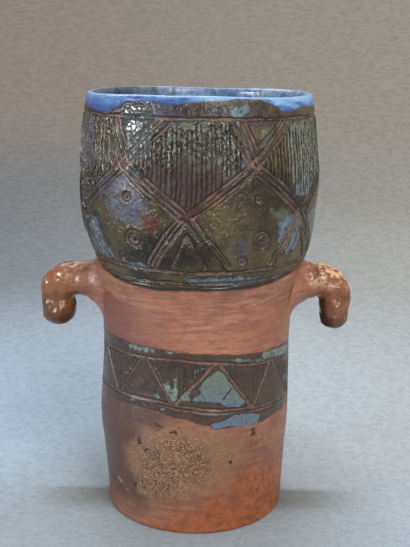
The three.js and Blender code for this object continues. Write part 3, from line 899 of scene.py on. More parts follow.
cylinder = {
    "facets": 540, "patternRadius": 56.5, "cells": 1, "combPitch": 1.9,
    "carved": (60, 116), "rows": (40, 85, 21), "greenTop": 101.8, "greenLow": 79,
    "pressing": {"Bold Width": 0.8, "Bold Depth": 0.5, "Comb Width": 0.5, "Comb Depth": 0.25,
                 "Crumbs": 0.4, "Dents": 0.8},
    "boldStyle": {"wobble": 0.9, "wobbleScale": 95.0, "jitter": 0.2, "unevenEnds": 0.0, "seed": 5},
    "combStyle": {"wobble": 0.8, "wobbleScale": 140.0, "jitter": 0.5, "unevenEnds": 0.3, "seed": 9},
    "bandTop": {
        -180: 110, -140: 112.5, -100: 111, -76: 112.1, -50: 113, -20: 112, 6: 110.7, 36: 108.3, 72: 106.5,
        110: 109, 150: 107,
    },
    "upperLine": {
        -180: 104, -140: 106, -100: 104, -66: 104.3, -29: 106.4, -11: 107.3, 17: 104.9, 36: 101.6,
        70: 99.8, 110: 103, 150: 101.5,
    },
    "lowerLine": {
        -180: 79, -140: 77, -100: 80, -73: 80.3, -26: 82.2, -5: 80.2, 14: 77.9, 30: 76.9, 45: 75.7,
        69: 73.6, 110: 76.5, 150: 79.5,
    },
    "bandFoot": {
        -180: 70, -140: 68, -100: 72, -75: 76, -55: 75.7, -41: 77.1, -20: 76.3, -3: 72.6, 9: 69.5,
        12: 66.9, 30: 67.4, 41: 66, 55: 67.9, 80: 68, 110: 66, 150: 71,
    },
    "peaks": (-31, 12, 50, 92, 131, 172, 213, 252, 291), "twicePeak": 12,
    "valleys": (-50, -12, 35, 72, 112, 152, 193, 233, 272),
    "hue": palette(
        dark=(66, 51, 45), olive=(80, 67, 52), brown=(88, 61, 51), line=(128, 95, 81), edge=(40, 34, 31),
        comb=(48, 39, 34), blue=(102, 119, 134), green=(110, 124, 108), pale=(142, 156, 152),
        paleDim=(100, 108, 102), rosy=(134, 71, 64), flame=(158, 94, 62), glazeInside=(140, 158, 178),
        glazePale=(184, 198, 206),
    ),
}


def cylinderGuides():
    circle = range(-195, 196, 5)

    def upper(angle):
        return float(aroundTable(cylinder["upperLine"], angle))

    def lower(angle):
        return float(aroundTable(cylinder["lowerLine"], angle))

    bold = [([(a, upper(a)) for a in circle], 1, 0, 1), ([(a, lower(a)) for a in circle], 1, 0, 1)]
    bold.append(([(a, lower(a) - 2.1) for a in range(-20, 60, 5)], 1, 0, 1))
    comb = []
    peaks, valleys = (sorted((a + 180) % 360 - 180 for a in cylinder[key]) for key in ("peaks", "valleys"))
    valleys = [v + turn for v in valleys for turn in (-360, 0, 360)]
    stepAngle = math.degrees(cylinder["combPitch"] / cylinder["patternRadius"])
    for left, right in zip([peaks[-1] - 360] + peaks, peaks + [peaks[0] + 360]):
        dip = next((v for v in valleys if left < v < right), (left + right) / 2)
        topLeft, topRight, low = upper(left), upper(right), lower(dip)
        # the strokes at one peak were drawn twice
        for peak, top, inward in ((left, topLeft, 1), (right, topRight, -1)):
            lines = 2 if peak == cylinder["twicePeak"] else 1
            stroke = [(peak + 1.5 * inward, top - 0.5), (dip - 0.8 * inward, low + 0.5)]
            bold.append((stroke, lines, 0.45, 1))
        for a in np.arange(left + 5, right - 4, stepAngle):
            side, top = (left, topLeft) if a < dip else (right, topRight)
            floor = low + (top - low) * (dip - a) / (dip - side)
            ceiling = upper(a) - 1.6
            if ceiling - floor > 4.5:
                comb.append(([(a, ceiling), (a, floor + 2)], 1, 0, 1))
    comb.append(([(22.5, 92), (15.2, 82.5)], 1, 0, 1))
    return bold, comb


def bareClayMaterial():
    material, kit, shader = newMaterial("bareClay")
    hue = cylinder["hue"]
    smoke, tan, netted, flush, deep, scratch = (kit.ragged(name + "Field", *edge)[0] for name, edge in (
        ("smoke", (22, 70.0, 10)), ("tan", (18, 110.0, 6)), ("net", (16, 110.0, 9)),
        ("flush", (24, 50.0, 9)), ("deep", (9.0, 520.0, 0.7)), ("scratch", (1.2, 400.0, 0.3)),
    ))
    x, _, z = kit.parts(kit.vector)
    deep = kit.most(z.ease(0.095, 0.05, 0.0, 0.3), deep)
    bare = kit.use(clay, {"Smoke": smoke, "Tan": tan, "Net": netted, "Flush": flush, "Deep": deep})
    mottle = kit.grain(300.0, 4.0, 0.65)
    flecks = kit.grain(700.0, 3.0, 0.7)
    broad = kit.grain(55.0, 3.0, 0.6)
    drips = kit.grain(1.0, 3.0, 0.6, stretch=(420, 420, 60))
    bold, comb = kit.field("boldDistance"), kit.field("combDistance")

    # the dark band, its carving, and the blue and pale runs on it
    groove = comb.ease(0.0002, 0.0007, 1.0, 0.0)
    core = bold.ease(0.00045, 0.00085, 1.0, 0.0)
    wear = kit.mix(0.5, mottle, flecks).ease(0.42, 0.58, 1.0, 0.3)
    blue, blueLine = kit.ragged("blueField", 3.0, 200.0, 0.35, 0.8)
    pale, paleLine = kit.ragged("paleField", 4.0, 420.0, 0.5, 0.8)
    blue = blue * flecks.ease(0.68, 0.5, 0.35, 1.0)
    greening = kit.field("greenShare") + (kit.mix(0.5, mottle, broad) - 0.5) * 1.3
    glaze = kit.tint(broad.ease(0.4, 0.6), hue.dark, hue.olive)
    for mask, tone in (
        (mottle.ease(0.42, 0.62) * 0.7, hue.brown),
        (flecks.ease(0.54, 0.68) * 0.45, hue.edge),
        (groove * 0.7, hue.comb),
        (bold.ease(0.0008, 0.0016, 1.0, 0.0) * 0.75, hue.edge),
        (core * wear, hue.line),
        (blueLine * 0.8, hue.edge),
        (blue * bold.ease(0.0006, 0.0012) * comb.ease(0.0003, 0.0008),
         kit.tint(greening.ease(0.05, 1.0), hue.blue, hue.green)),
        (paleLine * 0.7, hue.edge),
        (pale * flecks.ease(0.62, 0.5, 0.3, 0.85), kit.tint(mottle.ease(0.4, 0.6), hue.paleDim, hue.pale)),
    ):
        glaze = kit.tint(mask, glaze, tone)
    banded, bandEdge = kit.ragged("bandField", 3.4, 150.0, 0.25, 0.9)
    banded = kit.most(banded, blue)

    # the shoulder is painted rosy and darker on the left, as shade, and more orange and darker on the right,
    # partly a flush where the flame reached it and partly painted shade
    shoulder = z.ease(0.1, 0.114)
    inside = kit.field("insideField")
    color = bare["Color"]
    for mask, tone in (
        (shoulder * x.ease(0.0, -0.046, 0.0, 0.75), hue.rosy),
        (shoulder * x.ease(0.012, 0.05, 0.0, 0.45), hue.flame),
        (scratch * 0.6, clayHue.pale),
        (bandEdge * 0.7, hue.edge),
        (banded, glaze),
        (inside, kit.tint(drips.ease(0.35, 0.65), hue.glazeInside, hue.glazePale)),
    ):
        color = kit.tint(mask, color, tone)
    glossy = mottle.ease(0.35, 0.7, 0.26, 0.42)
    roughness = kit.mix(kit.most(banded, inside), bare["Roughness"], glossy)
    glazeHeight = mottle * 0.5 - (groove * 0.4 + core * 0.4) + 0.2
    dress(kit, shader, color, roughness, kit.mix(banded, bare["Height"], glazeHeight), 0.6, 0.0007)
    return material


cylinderPatches = {
    "blueField": [
        ((3.5, 92.5), (2, 90.5), (3.5, 88), (-1, 86), (-1.5, 83.5), (6.5, 83.5), (14.5, 82), (19.5, 79),
        (26.5, 78.5), (31, 80.5), (25, 87), (21, 92.5), (16, 99.5), (13.5, 101.5), (8, 98), (5.5, 96.5)),
        ((9.5, 69.5), (12.5, 66.5), (19.5, 68), (38.5, 65.5), (42, 70.5), (33.5, 73.5), (23.5, 74.5),
        (19.5, 71.5), (12.5, 71)), ((-2, 102), (0.5, 103), (5.5, 103), (0.5, 99), (-1.5, 99.5)),
        ((-100, 110), (-84, 111), (-84, 106), (-98, 106)), ((112, 84), (124, 99), (132, 86)), ((-150, 92),
        (-140, 100), (-132, 86), (-146, 82)), ((196, 74), (214, 76), (212, 69), (198, 68)),
    ],
    "paleField": [
        ((-18.5, 92), (-16, 94.5), (-14.5, 94.5), (-14.5, 91), (-13.5, 89), (-12, 90.5), (-12, 96),
        (-10.5, 96.5), (-9.5, 92), (-9.5, 88), (-10, 83.5), (-13, 82.5), (-15, 85), (-17.5, 88)),
        ((-24.5, 85.5), (-22, 86), (-19, 84), (-22, 83)), ((-8, 86.5), (-5, 89), (-2.5, 88), (-2.5, 84.5),
        (-6.5, 83.5)), ((-17, 112), (-14.5, 113), (-12.5, 111.5), (-15, 110)), ((-41.5, 78.5),
        (-38.5, 80), (-36, 79.5), (-39.5, 77.5)), ((-19.5, 77.5), (-17.5, 78.5), (-16.5, 77.5),
        (-18.5, 76.5)), ((-46, 111), (-37, 112.3), (-24, 111.8), (-24, 110), (-38, 109.3)), ((42, 107.5),
        (53, 107), (75, 104.5), (77.5, 98), (53.5, 102.5), (43, 103.5)), ((20.5, 106.5), (25.5, 107),
        (36, 104.5), (44, 104), (42.5, 102.5), (25.5, 105)), ((66, 84), (70, 88), (72, 84)), ((150, 86),
        (156, 90), (158, 85)),
    ],
    "smokeField": [
        ((-100, 72), (-75, 73), (-60, 86), (-28, 84), (-12, 76), (-10, 62), (-14, 46), (-14, 32),
        (-22, 20), (-34, 13), (-54, 9), (-84, 9), (-100, 14)), ((92, 52), (106, 66), (128, 60), (140, 38),
        (134, 18), (112, 12), (98, 24)), ((-172, 50), (-158, 68), (-140, 60), (-130, 34), (-146, 18),
        (-164, 26)),
    ],
    "tanField": [
        ((-44, 46), (-32, 60), (-21, 69), (-5, 68), (14, 67), (30, 58), (30, 43), (17, 33), (4, 26),
        (-10, 20), (-24, 18), (-35, 24), (-41, 35)), ((150, 48), (162, 58), (184, 54), (192, 38),
        (180, 22), (158, 26)),
    ],
    "netField": [
        ((-38, 30), (-32, 48), (-22, 60), (-8, 62), (4, 56), (10, 48), (8, 40), (0, 32), (-8, 25),
        (-20, 20), (-32, 23)), ((154, 46), (166, 54), (186, 50), (190, 38), (178, 26), (160, 28)),
    ],
    "flushField": [
        ((90, 34), (77.5, 32.5), (40.5, 38.5), (26, 35.5), (17.5, 24.5), (2.5, 15), (-14, 9), (-34, 3),
        (-30, -6), (8, -8), (43, -8), (90, -8)), ((-130, 30), (-104, 34), (-98, -8), (-140, -8)),
    ],
    "deepField": [
        ((-35.5, 55), (-32, 57.5), (-29, 55.5), (-32.5, 52.5)), ((-30.5, 51.5), (-27, 53.5), (-26.5, 51),
        (-29.5, 49.5)), ((-23, 67.5), (-20, 68.5), (-17.5, 66), (-20.5, 65)), ((-14, 65), (-10.5, 66),
        (-5.5, 65), (-9.5, 63.5), (-13, 63.5)), ((34, 63), (38.5, 63), (37, 58), (35, 59)), ((-41, 26.5),
        (-37, 28.5), (-37, 25), (-40.5, 23.5)), ((21.5, 46), (23, 45.5), (22.8, 42.5), (21.8, 43)),
        ((100, 60), (106, 62), (104, 56)), ((-120, 62), (-112, 64), (-114, 58)),
    ],
    "scratchField": [
        ((-58, 24), (-55, 24.8), (-49.5, 22.7), (-52, 21.7)), ((-50, 20), (-46, 20.4), (-43, 18.8)),
    ],
}


def makeCylinder():
    wall, height, bevelR = form["cylinderWall"], form["cylinderHeight"], form["footBevel"]
    innerFoot = footR - wall
    # rows are close together where the band is carved
    low, high = cylinder["carved"]
    below, within, beyond = cylinder["rows"]
    heights = np.concatenate([
        np.linspace(bevelR, low, below)[:-1], np.linspace(low, high, within)[:-1],
        np.linspace(high, height, beyond)])
    outer = [(cylinderRadius(h), h) for h in heights]
    bevel = [(footR - bevelR * (1 - math.sin(t)), bevelR * (1 - math.cos(t)))
             for t in np.linspace(0, math.pi / 2, 5)[:-1]]
    inner = [(cylinderRadius(h) - wall, h) for h in np.linspace(height, footH, 14)]
    under = [(innerFoot, 0), (innerFoot + 1.2, 0)] + bevel
    outline = under + outer + [(shoulderR - wall / 2, height)] + inner
    outline += [(innerFoot, footH / 2), (innerFoot, 0)]
    flatUp = [-noStrokes] * len(under) + [h for r, h in outer]
    flatUp += [noStrokes] * (len(outline) - len(flatUp))
    boldGuides, combGuides = cylinderGuides()
    bold = drawStrokes("bandLines", boldGuides, cylinder, cylinder["boldStyle"])
    comb = drawStrokes("bandComb", combGuides, cylinder, cylinder["combStyle"])
    piece = turnWall("clayCylinder", outline, flatUp, bareClayMaterial(), cylinder, bold, comb)
    mesh = piece.data
    points = pointsOf(mesh) / mm
    points[:, 2] = np.maximum(points[:, 2], 0)  # the foot ring stays flat
    angles, heights = anglesOf(points), points[:, 2]
    inside = np.hypot(points[:, 0], points[:, 1]) < cylinderRadius(heights) - wall / 2
    below = aroundTable(cylinder["bandTop"], angles) - heights
    above = heights - aroundTable(cylinder["bandFoot"], angles)
    # the blue glaze turns green upwards and to the right
    greening = (heights - cylinder["greenLow"] + np.maximum(angles - 14, 0) * 0.5) / 20
    greenShare = np.clip(greening, 0, 0.9) * (heights < cylinder["greenTop"])
    addField(mesh, "insideField", inside.astype(float))
    addField(mesh, "bandField", np.where(inside, -0.02, np.minimum(below, above) * mm))
    addField(mesh, "greenShare", greenShare)
    addPatches(mesh, cylinderPatches, points, cylinder["patternRadius"])
    setPoints(mesh, handMade(points) * mm)
    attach(piece, "root")
    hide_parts("cylinder_wall")
    return piece


cylinderPiece = makeCylinder()
print("cylinder and its band done")


# coil in the joint, and the floor slab

joint = {
    "drop": 4.5, "rise": 3.0, "thickness": 1.8, "feather": 0.7, "facets": 400, "patternRadius": 58,
    "smear": ((9, -0.5), (6.5, -0.1), (4, 0.18), (2, 0.42), (0.8, 0.58)),  # below the coil, off the wall
    "pressing": {"Dents": 0.5}, "dentScale": 45.0,
    "hue": palette(glaze=(66, 58, 50), brown=(90, 66, 54), edge=(40, 35, 32)),
}
slab = {
    "recess": 1.2, "thickness": 7.0, "chamfer": 0.8, "dish": 0.8, "slip": 0.3, "facets": 160,
    "patternRadius": 50, "pressing": {"Dents": 0.25}, "dentScale": 60.0,
    "hue": palette(glaze=(140, 158, 176), pale=(184, 198, 206), pool=(96, 118, 140)),
}
coilLow, coilHigh = form["cylinderHeight"] - joint["drop"], form["bowlBase"] + joint["rise"]
coilMiddle = (coilLow + coilHigh) / 2
coilLine = smoothLine([
    (cylinderRadius(coilLow) + joint["feather"], coilLow),
    ((cylinderRadius(coilMiddle) + shoulderR) / 2 + joint["thickness"], coilMiddle),
    (bowlRadius(coilHigh) + joint["feather"], coilHigh),
], 60)


def coilMaterial():
    material, kit, shader = newMaterial("jointClay")
    hue = joint["hue"]
    bare = kit.use(clay)
    glazed, rim = kit.ragged("glazeField", 1.6, 180.0, 0.25, 1.3)
    glaze = kit.tint(kit.grain(300.0, 4.0, 0.65).ease(0.45, 0.7), hue.glaze, hue.brown)
    color = kit.tint(rim * 0.85, kit.tint(glazed, bare["Color"], glaze), hue.edge)
    dress(kit, shader, color, kit.mix(glazed, bare["Roughness"], 0.18), bare["Height"], 0.5, 0.0004)
    return material


def makeCoil():
    front = [(cylinderRadius(coilLow - drop) + over, coilLow - drop) for drop, over in joint["smear"]]
    front += [tuple(p) for p in coilLine[::5]] + [tuple(coilLine[-1])]
    front.append((bowlRadius(coilHigh + 0.8) - 0.1, coilHigh + 0.8))
    back = [(bowlRadius(coilHigh) - 0.5, coilHigh), (shoulderR - 0.2, form["cylinderHeight"]),
            (cylinderRadius(coilLow) - 0.4, coilLow)]
    outline = front + back + [front[0]]
    piece = turnWall("jointCoil", outline, [noStrokes] * len(outline), coilMaterial(), joint)
    points = pointsOf(piece.data) / mm
    glazeAbove = points[:, 2] - aroundTable(bowl["glazeEdge"], anglesOf(points))
    addField(piece.data, "glazeField", glazeAbove * mm)
    setPoints(piece.data, handMade(points) * mm)
    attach(piece, "root")
    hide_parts("joint_coil")
    return piece


def slabMaterial():
    material, kit, shader = newMaterial("pooledGlaze")
    hue = slab["hue"]
    bare = kit.use(clay, {"Smoke": 0.3})
    mottle = kit.grain(90.0, 4.0, 0.6)
    net = kit.use(crackle, {"Cell Size": 0.003, "Crack Width": 0.06})["Crack"]
    outward = kit.vec("LENGTH", kit.vec("MULTIPLY", kit.vector, (1, 1, 0)))
    glaze = kit.tint(mottle.ease(0.4, 0.65), hue.glaze, hue.pale)
    glaze = kit.tint(outward.ease(0.008, 0.034, 0.8, 0.0), glaze, hue.pool)
    glaze = kit.tint(net * 0.35, glaze, hue.pool)
    top = kit.parts(kit.vector)[2].ease(0.0058, 0.0064)
    dress(kit, shader, kit.tint(top, bare["Color"], glaze), kit.mix(top, bare["Roughness"], 0.12),
          kit.mix(top, bare["Height"], mottle * 0.4), 0.4, 0.0004)
    return material


def makeSlab():
    radius = footR - form["cylinderWall"] - slab["slip"]
    low, top = slab["recess"], slab["recess"] + slab["thickness"]
    under = [(r, low) for r in np.linspace(0, radius - slab["chamfer"], 18)]
    side = [(radius, low + slab["chamfer"]), (radius, top - 3), (radius, top - 0.5), (radius - 0.4, top)]
    upper = [(r, top - slab["dish"] * (1 - (r / radius) ** 2)) for r in np.linspace(radius - 2, 0, 20)]
    outline = under + side + upper
    piece = turnWall("floorSlab", outline, [noStrokes] * len(outline), slabMaterial(), slab)
    setPoints(piece.data, handMade(pointsOf(piece.data) / mm) * mm)
    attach(piece, "root")
    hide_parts("floor_slab")


coilPiece = makeCoil()
makeSlab()
print("joint coil and floor slab done")


# handles

leftHandle = {
    "name": "leftHook", "node": "handle_left", "side": -1, "reach": 26.5, "rise": 0.1, "hang": 28.5,
    "innerBend": 0.9, "armRadius": 10.5, "tipRadius": 10, "innerEdge": 7.5, "sheenFrom": 66,
    "skirtFoot": 28.0, "elbow": 0.2, "seed": 2.0,
}
rightHandle = {
    "name": "rightHook", "node": "handle_right", "side": 1, "reach": 25.9, "rise": 1.5, "hang": 28.7,
    "innerBend": 1.6, "armRadius": 10.4, "tipRadius": 9, "innerEdge": 4.0, "sheenFrom": 59,
    "skirtFoot": 25.0, "elbow": 0.0, "seed": 7.0,
}
handleForm = {
    "root": 138.5, "facets": 96, "skirtTop": 19.5, "skirtSide": 21.0, "stand": 13.0, "sunk": 0.6,
    "lumps": 1.3, "lumpSize": 8.5, "smallLumpSize": 3.6, "seatLimit": 0.0015,
    # cream is a painted highlight; tip is painted shade on the hanging end's side towards the wall
    "hue": palette(gold=(156, 104, 64), russet=(150, 90, 64), umber=(82, 50, 35), cream=(240, 198, 160),
                   tip=(48, 35, 31)),
}


def wallReach(y, z):
    # how far out along X the finished wall stands, in mm, before the hand-made sway
    coil = np.interp(z, coilLine[:, 1], coilLine[:, 0])
    radius = np.where(z < coilLow, cylinderRadius(z), np.where(z > coilHigh, bowlRadius(z), coil))
    return np.sqrt(np.maximum(radius**2 - y**2, 1.0))


def seatShift(side, y, z):
    # how much the finished, dented wall stands out from the plain one at some places, in metres
    plain = handMade(np.stack([side * wallReach(y, z), y, z], axis=1)) * mm
    graph = bpy.context.evaluated_depsgraph_get()
    trees = [BVHTree.FromObject(piece, graph) for piece in (bowlPiece, cylinderPiece, coilPiece)]
    shift = np.zeros(len(plain))
    for i, (x, deep, high) in enumerate(plain):
        hits = [tree.ray_cast((side * 0.2, deep, high), (-side, 0, 0))[0] for tree in trees]
        found = [side * hit.x for hit in hits if hit]
        shift[i] = max(found) - side * x if found else 0.0
    return np.clip(shift, -handleForm["seatLimit"], handleForm["seatLimit"])


def handleMaterial():
    material, kit, shader = newMaterial("sheenClay")
    hue = handleForm["hue"]
    root, upper = kit.field("rootField"), kit.field("upperField")
    highlightRightward = kit.parts(kit.vector)[0].ease(-0.02, 0.02, 0.5, 1.0)
    bare = kit.use(clay)
    mottle = kit.grain(170.0, 4.0, 0.62, 0.4)
    creamy = kit.grain(190.0, 4.0, 0.62, 0.15, stretch=(0.7, 1, 1))
    glazed, rim = kit.ragged("glazeField", 2.2, 180.0, 0.4, 1.3)
    color = kit.tint(mottle.ease(0.35, 0.65), hue.gold, hue.russet)
    for mask, tone in (
        (kit.grain(60.0, 3.0, 0.6).ease(0.46, 0.62) * upper.ease(0.0, 1.0, 0.6, 0.25), hue.umber),
        # a painted cream highlight on the top side, stronger towards the right
        (creamy.ease(0.46, 0.6) * upper * highlightRightward, hue.cream),
        (kit.grain(700.0, 2.0, 0.6).ease(0.56, 0.68) * 0.3, hue.umber),
        ((root + (mottle - 0.5) * 0.8).ease(0.1, 0.9), bare["Color"]),
        # painted shade on the hanging end, darker still on its side towards the wall
        (kit.field("lowShadeField") * 0.82, hue.umber),
        (kit.field("innerShadeField") * 0.8, hue.tip),
        (glazed * 0.85, joint["hue"].glaze),
        (rim * 0.7, joint["hue"].edge),
    ):
        color = kit.tint(mask, color, tone)
    shine = root.ease(0.35, 1.0)
    roughness = kit.mix(shine, mottle.ease(0.35, 0.7, 0.2, 0.36), bare["Roughness"])
    height = mottle * 0.5 + (creamy * 0.4 + kit.grain(900.0, 2.0, 0.6) * 0.08)
    shader.inputs["IOR"].default_value = 1.55
    dress(kit, shader, color, roughness, kit.mix(shine, height, bare["Height"]), 0.55, 0.0012)
    return material


def handleRings(spec):
    # rings of points in mm from the wall to the tip, how far along each one is, and how much it seats
    arm, tip, root, count = spec["armRadius"], spec["tipRadius"], handleForm["root"], handleForm["facets"]
    stand, sunk = handleForm["stand"], handleForm["sunk"]
    bend = arm + spec["innerBend"]
    phi = np.arange(count) * 2 * math.pi / count
    across, upward = np.cos(phi), np.sin(phi)
    rings, alongs, seated = [], [], []
    # skirt: the roll spreads into the wall along a quarter of an ellipse
    foot = np.where(upward < 0, spec["skirtFoot"], handleForm["skirtTop"])
    spreadOut = np.sqrt((handleForm["skirtSide"] * across) ** 2 + (foot * upward) ** 2)
    for t in np.linspace(0, 1, 18):
        turn = t * math.pi / 2
        radius = spreadOut - (spreadOut - arm) * math.sin(turn)
        y = radius * across
        z = root + spec["rise"] * t * 0.5 + radius * upward
        blend = t * t * (3 - 2 * t)
        off = -sunk + (stand + sunk) * (1 - math.cos(turn))
        x = shoulderR + (wallReach(y, z) - shoulderR) * (1 - blend) + off
        rings.append(np.stack([x, y, z], axis=1))
        alongs.append(-1 + t)
        seated.append(1 - blend)
    # arm, bend and hanging end, then a blunt rounded tip
    armStart = shoulderR + stand
    bendX, bendZ = shoulderR + spec["reach"] - bend, root + spec["rise"]
    line = []
    for x in np.linspace(armStart, bendX, 4)[1:-1]:
        share = (x - armStart) / (bendX - armStart)
        line.append((x, root + spec["rise"] * (0.5 + 0.5 * share), 0.0))
    for t in np.linspace(0, math.pi / 2, 24):
        line.append((bendX + bend * math.sin(t), bendZ - bend * (1 - math.cos(t)), t))
    for z in np.linspace(bendZ - bend, root - spec["hang"] + tip, 16)[1:]:
        line.append((shoulderR + spec["reach"], z, math.pi / 2))
    lengths = np.concatenate([[0], np.cumsum([math.dist(a[:2], b[:2]) for a, b in zip(line, line[1:])])])
    for (x, z, t), gone in zip(line, lengths):
        share = gone / lengths[-1]
        # the outer side of the bend is pinched into a soft elbow
        pinch = 1 + spec["elbow"] * math.sin(2 * t) ** 2 * np.maximum(upward, 0) ** 2
        radius = (arm + (tip - arm) * share) * pinch
        flatten = 1 - 0.03 * math.sin(math.pi * share)
        out, up = x + radius * upward * math.sin(t), z + radius * upward * math.cos(t)
        rings.append(np.stack([out, radius * across * flatten, up], axis=1))
        alongs.append(share)
    x, z, t = line[-1]
    for turn in np.linspace(0, math.pi / 2, 15)[1:]:
        narrow, down = max(math.cos(turn), 0.0) ** 0.92, math.sin(turn)
        depth = np.full(count, z - tip * down)
        rings.append(np.stack([x + tip * narrow * upward, tip * narrow * across, depth], axis=1))
        alongs.append(1 + down * 0.3)
    rings[-1] = rings[-1].mean(axis=0, keepdims=True)
    return rings, alongs, seated


def makeHandle(spec, material):
    side, root, count = spec["side"], handleForm["root"], handleForm["facets"]
    rings, alongs, seated = handleRings(spec)
    points = np.concatenate(rings)
    along = np.concatenate([np.full(len(ring), a) for ring, a in zip(rings, alongs)])
    skirt = len(seated) * count
    shift = seatShift(side, points[:skirt, 1], points[:skirt, 2]) * np.repeat(seated, count)
    # finger lumps, fading to nothing where the skirt meets the wall
    outward = np.concatenate([ring - ring.mean(axis=0, keepdims=True) for ring in rings])
    outward /= np.maximum(np.linalg.norm(outward, axis=1, keepdims=True), 1e-6)
    fade = np.clip((along + 0.85) / 0.6, 0, 1)
    offset = Vector((spec["seed"] * 13.7, 4.1, 2.3))
    large, small = handleForm["lumpSize"], handleForm["smallLumpSize"]
    lump = np.array([
        noise.noise(Vector(p) / large + offset) + 0.5 * noise.noise(Vector(p) / small + offset)
        for p in points])
    points = points + outward * (handleForm["lumps"] * lump * fade)[:, None]
    faces = []
    for ring in range(len(rings) - 2):
        first, second = ring * count, (ring + 1) * count
        for i in range(count):
            j = (i + 1) % count
            faces.append((first + i, first + j, second + j, second + i))
    last, pole = (len(rings) - 2) * count, len(points) - 1
    faces += [(last + i, last + (i + 1) % count, pole) for i in range(count)]
    faces.append(tuple(range(count - 1, -1, -1)))  # the face against the wall
    if side < 0:
        points[:, 0] *= -1
        faces = [face[::-1] for face in faces]
    piece = newObject(spec["name"], points * mm, faces=faces)
    mesh = piece.data
    mesh.materials.append(material)
    outX, z = np.abs(points[:, 0]), points[:, 2]
    inner = np.clip((shoulderR + spec["reach"] - spec["innerEdge"] - outX) / 3.5, 0, 1)
    # glaze that ran from the bowl onto the top of the root
    glazeAbove = z - aroundTable(bowl["glazeEdge"], anglesOf(points)) - 1.0 - np.clip(outX - 60, 0, 40) * 1.2
    addField(mesh, "rootField", np.clip((spec["sheenFrom"] + 14 - outX) / 14, 0, 1) * (along < 0.5))
    # painted shade on the hanging end and on its side towards the wall; the top side gets a painted cream
    # highlight
    addField(mesh, "lowShadeField", np.clip((along - 0.7) * 2.2, 0, 1))
    addField(mesh, "innerShadeField", inner * np.clip((along - 0.3) * 4, 0, 1))
    addField(mesh, "upperField", np.clip((z - root + 4) / 9, 0, 1))
    addField(mesh, "glazeField", glazeAbove * mm)
    points = handMade(points) * mm
    points[:skirt, 0] += side * shift
    setPoints(mesh, points)
    mesh.set_sharp_from_angle(angle=math.radians(60))
    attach(piece, "root")
    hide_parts(spec["node"])


sheenClay = handleMaterial()
for spec in (leftHandle, rightHandle):
    makeHandle(spec, sheenClay)
print("handles done")


# floor, room and lights

stage = {
    "rings": (0.05, 0.1, 0.2, 0.35, 0.6, 1.0, 2.0, 5.0, 12.0, 30.0), "sectors": 48, "eye": (0, 0.53, 0),
    "weave": (0.82, 0.83, 0.845, 1), "world": 0.55, "worldColor": (0.95, 0.97, 1.0, 1),
    # painted light: the paper and room are darker on the left and lighter on the right, and change with
    # distance
    "left": palette(near=(170, 182, 192), low=(185, 204, 220), middle=(136, 142, 149), far=(130, 132, 134),
                    high=(146, 136, 128)),
    "right": palette(near=(183, 196, 206), low=(196, 204, 209), middle=(184, 185, 181), far=(162, 159, 152),
                     high=(159, 153, 142)),
    # painted shade round the foot, and a painted shadow to both sides of it
    "hue": palette(shade=(114, 106, 92), fold=(104, 103, 86)),
}
# place, aim, size, power and colour; a card shows in the gloss only, as a white board would
lamps = {
    "windowLight": ((-1.20, -0.56, 0.35), (0, 0, 0.22), (0.5, 0.5), 4.7, (0.92, 0.96, 1.0)),
    "overheadLight": ((0.42, -0.85, 1.25), (0, 0, 0.18), (0.55, 0.55), 8.5, (1.0, 0.97, 0.92)),
    "frontLight": ((0.46, -1.14, 0.34), (0, 0, 0.2), (0.2, 0.3), 2.4, (1.0, 0.96, 0.9)),
    "windowCard": ((-1.15, -0.58, 0.38), (0, 0, 0.22), (0.44, 0.3), 12.0, (0.94, 0.97, 1.0)),
    "frontCard": ((0.45, -1.11, 0.34), (0, 0, 0.2), (0.3, 0.26), 2.4, (1.0, 0.97, 0.93)),
    "sideLight": ((1.30, -0.30, 0.36), (0, 0, 0.12), (0.25, 0.4), 0.5, (1.0, 0.97, 0.93)),
    "backLight": ((-0.30, 0.75, 1.05), (0, 0, 0.2), (0.9, 0.5), 4.4, (0.95, 0.98, 1.0)),
}


def roomColor(kit, vector, name):
    # painted light: the room is lighter towards +X, seen from the front
    aside = kit.parts(kit.vec("NORMALIZE", vector))[0].ease(-0.28, 0.3)
    return kit.tint(aside, getattr(stage["left"], name), getattr(stage["right"], name))


def weaveGrain(kit, direction):
    # the paper's fine weave, of one size wherever it is seen from the front
    return kit.grain(1.0, 3.0, 0.7, stretch=(130, 130, 420), vector=direction)


def woven(kit, weave, color):
    return kit.tint(weave.ease(0.35, 0.68), color, stage["weave"], "MULTIPLY")


def seenDirectly(kit):
    # 1 where the camera, a reflection or a clear body looks, 0 where light is gathered
    path = kit.put("ShaderNodeLightPath").outputs
    rays = ("Is Camera Ray", "Is Glossy Ray", "Is Transmission Ray")
    eye, glossy, clear = (Signal(kit, path[name]) for name in rays)
    return kit.calc("ADD", eye + glossy, clear, clamp=True)


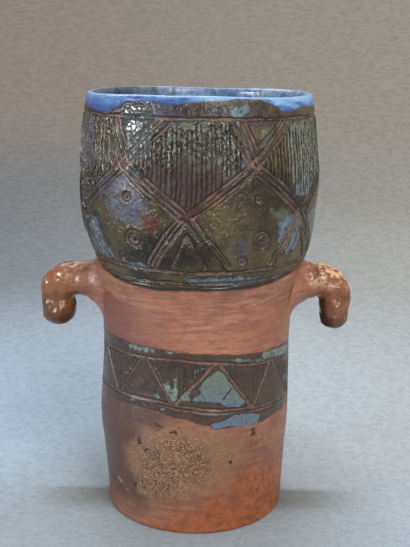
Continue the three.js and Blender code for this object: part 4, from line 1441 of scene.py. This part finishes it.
def makeStage():
    count = stage["sectors"]
    turns = np.arange(count) * 2 * math.pi / count
    points = [(0, 0, 0)]
    for radius in stage["rings"]:
        points += [(radius * math.cos(t), radius * math.sin(t), 0) for t in turns]
    faces = [(0, 1 + i, 1 + (i + 1) % count) for i in range(count)]
    for first in range(1, len(points) - count, count):
        for i in range(count):
            j = (i + 1) % count
            faces.append((first + i, first + count + i, first + count + j, first + j))
    table = newObject("paperFloor", points, faces=faces)
    material, kit, shader = newMaterial("palePaper")
    away = kit.vec("LENGTH", kit.vector)
    y = kit.parts(kit.vector)[1]
    fromCamera = kit.vec("ADD", kit.vector, stage["eye"])
    near, low, middle, far, high = (
        roomColor(kit, fromCamera, name) for name in ("near", "low", "middle", "far", "high"))
    # painted light and shade: the paper is paler close behind the vase and darker farther off
    color = kit.tint(y.ease(-0.05, 0.07), near, low)
    color = kit.tint(away.ease(0.20, 0.60), color, middle)
    color = kit.tint(away.ease(0.5, 1.3), color, far)
    color = kit.tint(away.ease(1.0, 3.2), color, high)
    # painted shade on the paper round the vase's foot, and a painted shadow to both sides of it
    color = kit.tint(away.ease(0.052, 0.13, 0.3, 0.0, "LINEAR"), color, stage["hue"].shade)
    fold = y.ease(-0.001, 0.006, 1.0, 0.0) * y.ease(-0.034, -0.011) * away.ease(0.056, 0.115, 1.0, 0.0)
    color = kit.tint(fold * 0.66, color, stage["hue"].fold)
    direction = kit.vec("NORMALIZE", kit.vec("SUBTRACT", kit.vector, cameraView["place"]))
    weave = weaveGrain(kit, direction)
    color = woven(kit, weave, color)
    dress(kit, shader, color, 0.9, weave, 0.1, 0.0005)
    # far off, the paper glows with its own colour where it is seen directly or in reflections, whatever the
    # lamps do there
    glow = kit.give("ShaderNodeEmission", 0, {"Color": color, "Strength": 1.0})
    share = seenDirectly(kit) * away.ease(0.3, 1.0)
    surface = kit.give("ShaderNodeMixShader", 0, {0: share, 1: Signal(kit, shader.outputs[0]), 2: glow})
    output = next(node for node in material.node_tree.nodes if node.type == "OUTPUT_MATERIAL")
    kit.plug(surface, output.inputs["Surface"])
    table.data.materials.append(material)


def makeRoom():
    world = bpy.data.worlds.new("room")
    scene.world = world
    world.use_nodes = True
    air = NodeKit(world.node_tree)
    background = next(node for node in world.node_tree.nodes if node.type == "BACKGROUND")
    background.inputs["Color"].default_value = stage["worldColor"]
    background.inputs["Strength"].default_value = stage["world"]
    direction = air.give("ShaderNodeTexCoord", "Generated")
    shown = woven(air, weaveGrain(air, direction), roomColor(air, direction, "high"))
    wall = air.give("ShaderNodeBackground", 0, {"Color": shown, "Strength": 1.0})
    lit = Signal(air, background.outputs[0])
    both = air.give("ShaderNodeMixShader", 0, {0: seenDirectly(air), 1: lit, 2: wall})
    output = next(node for node in world.node_tree.nodes if node.type == "OUTPUT_WORLD")
    air.plug(both, output.inputs["Surface"])


def addLamp(name, place, aim, size, power, color):
    lamp = bpy.data.lights.new(name, "AREA")
    lamp.shape = "RECTANGLE"
    lamp.size, lamp.size_y = size
    lamp.energy = power
    lamp.color = color
    holder = bpy.data.objects.new(name, lamp)
    scene.collection.objects.link(holder)
    holder.location = place
    holder.rotation_euler = (Vector(aim) - Vector(place)).to_track_quat("-Z", "Y").to_euler()
    holder.visible_diffuse = not name.endswith("Card")


makeStage()
for name, values in lamps.items():
    addLamp(name, *values)
makeRoom()
print("stage and lights set")
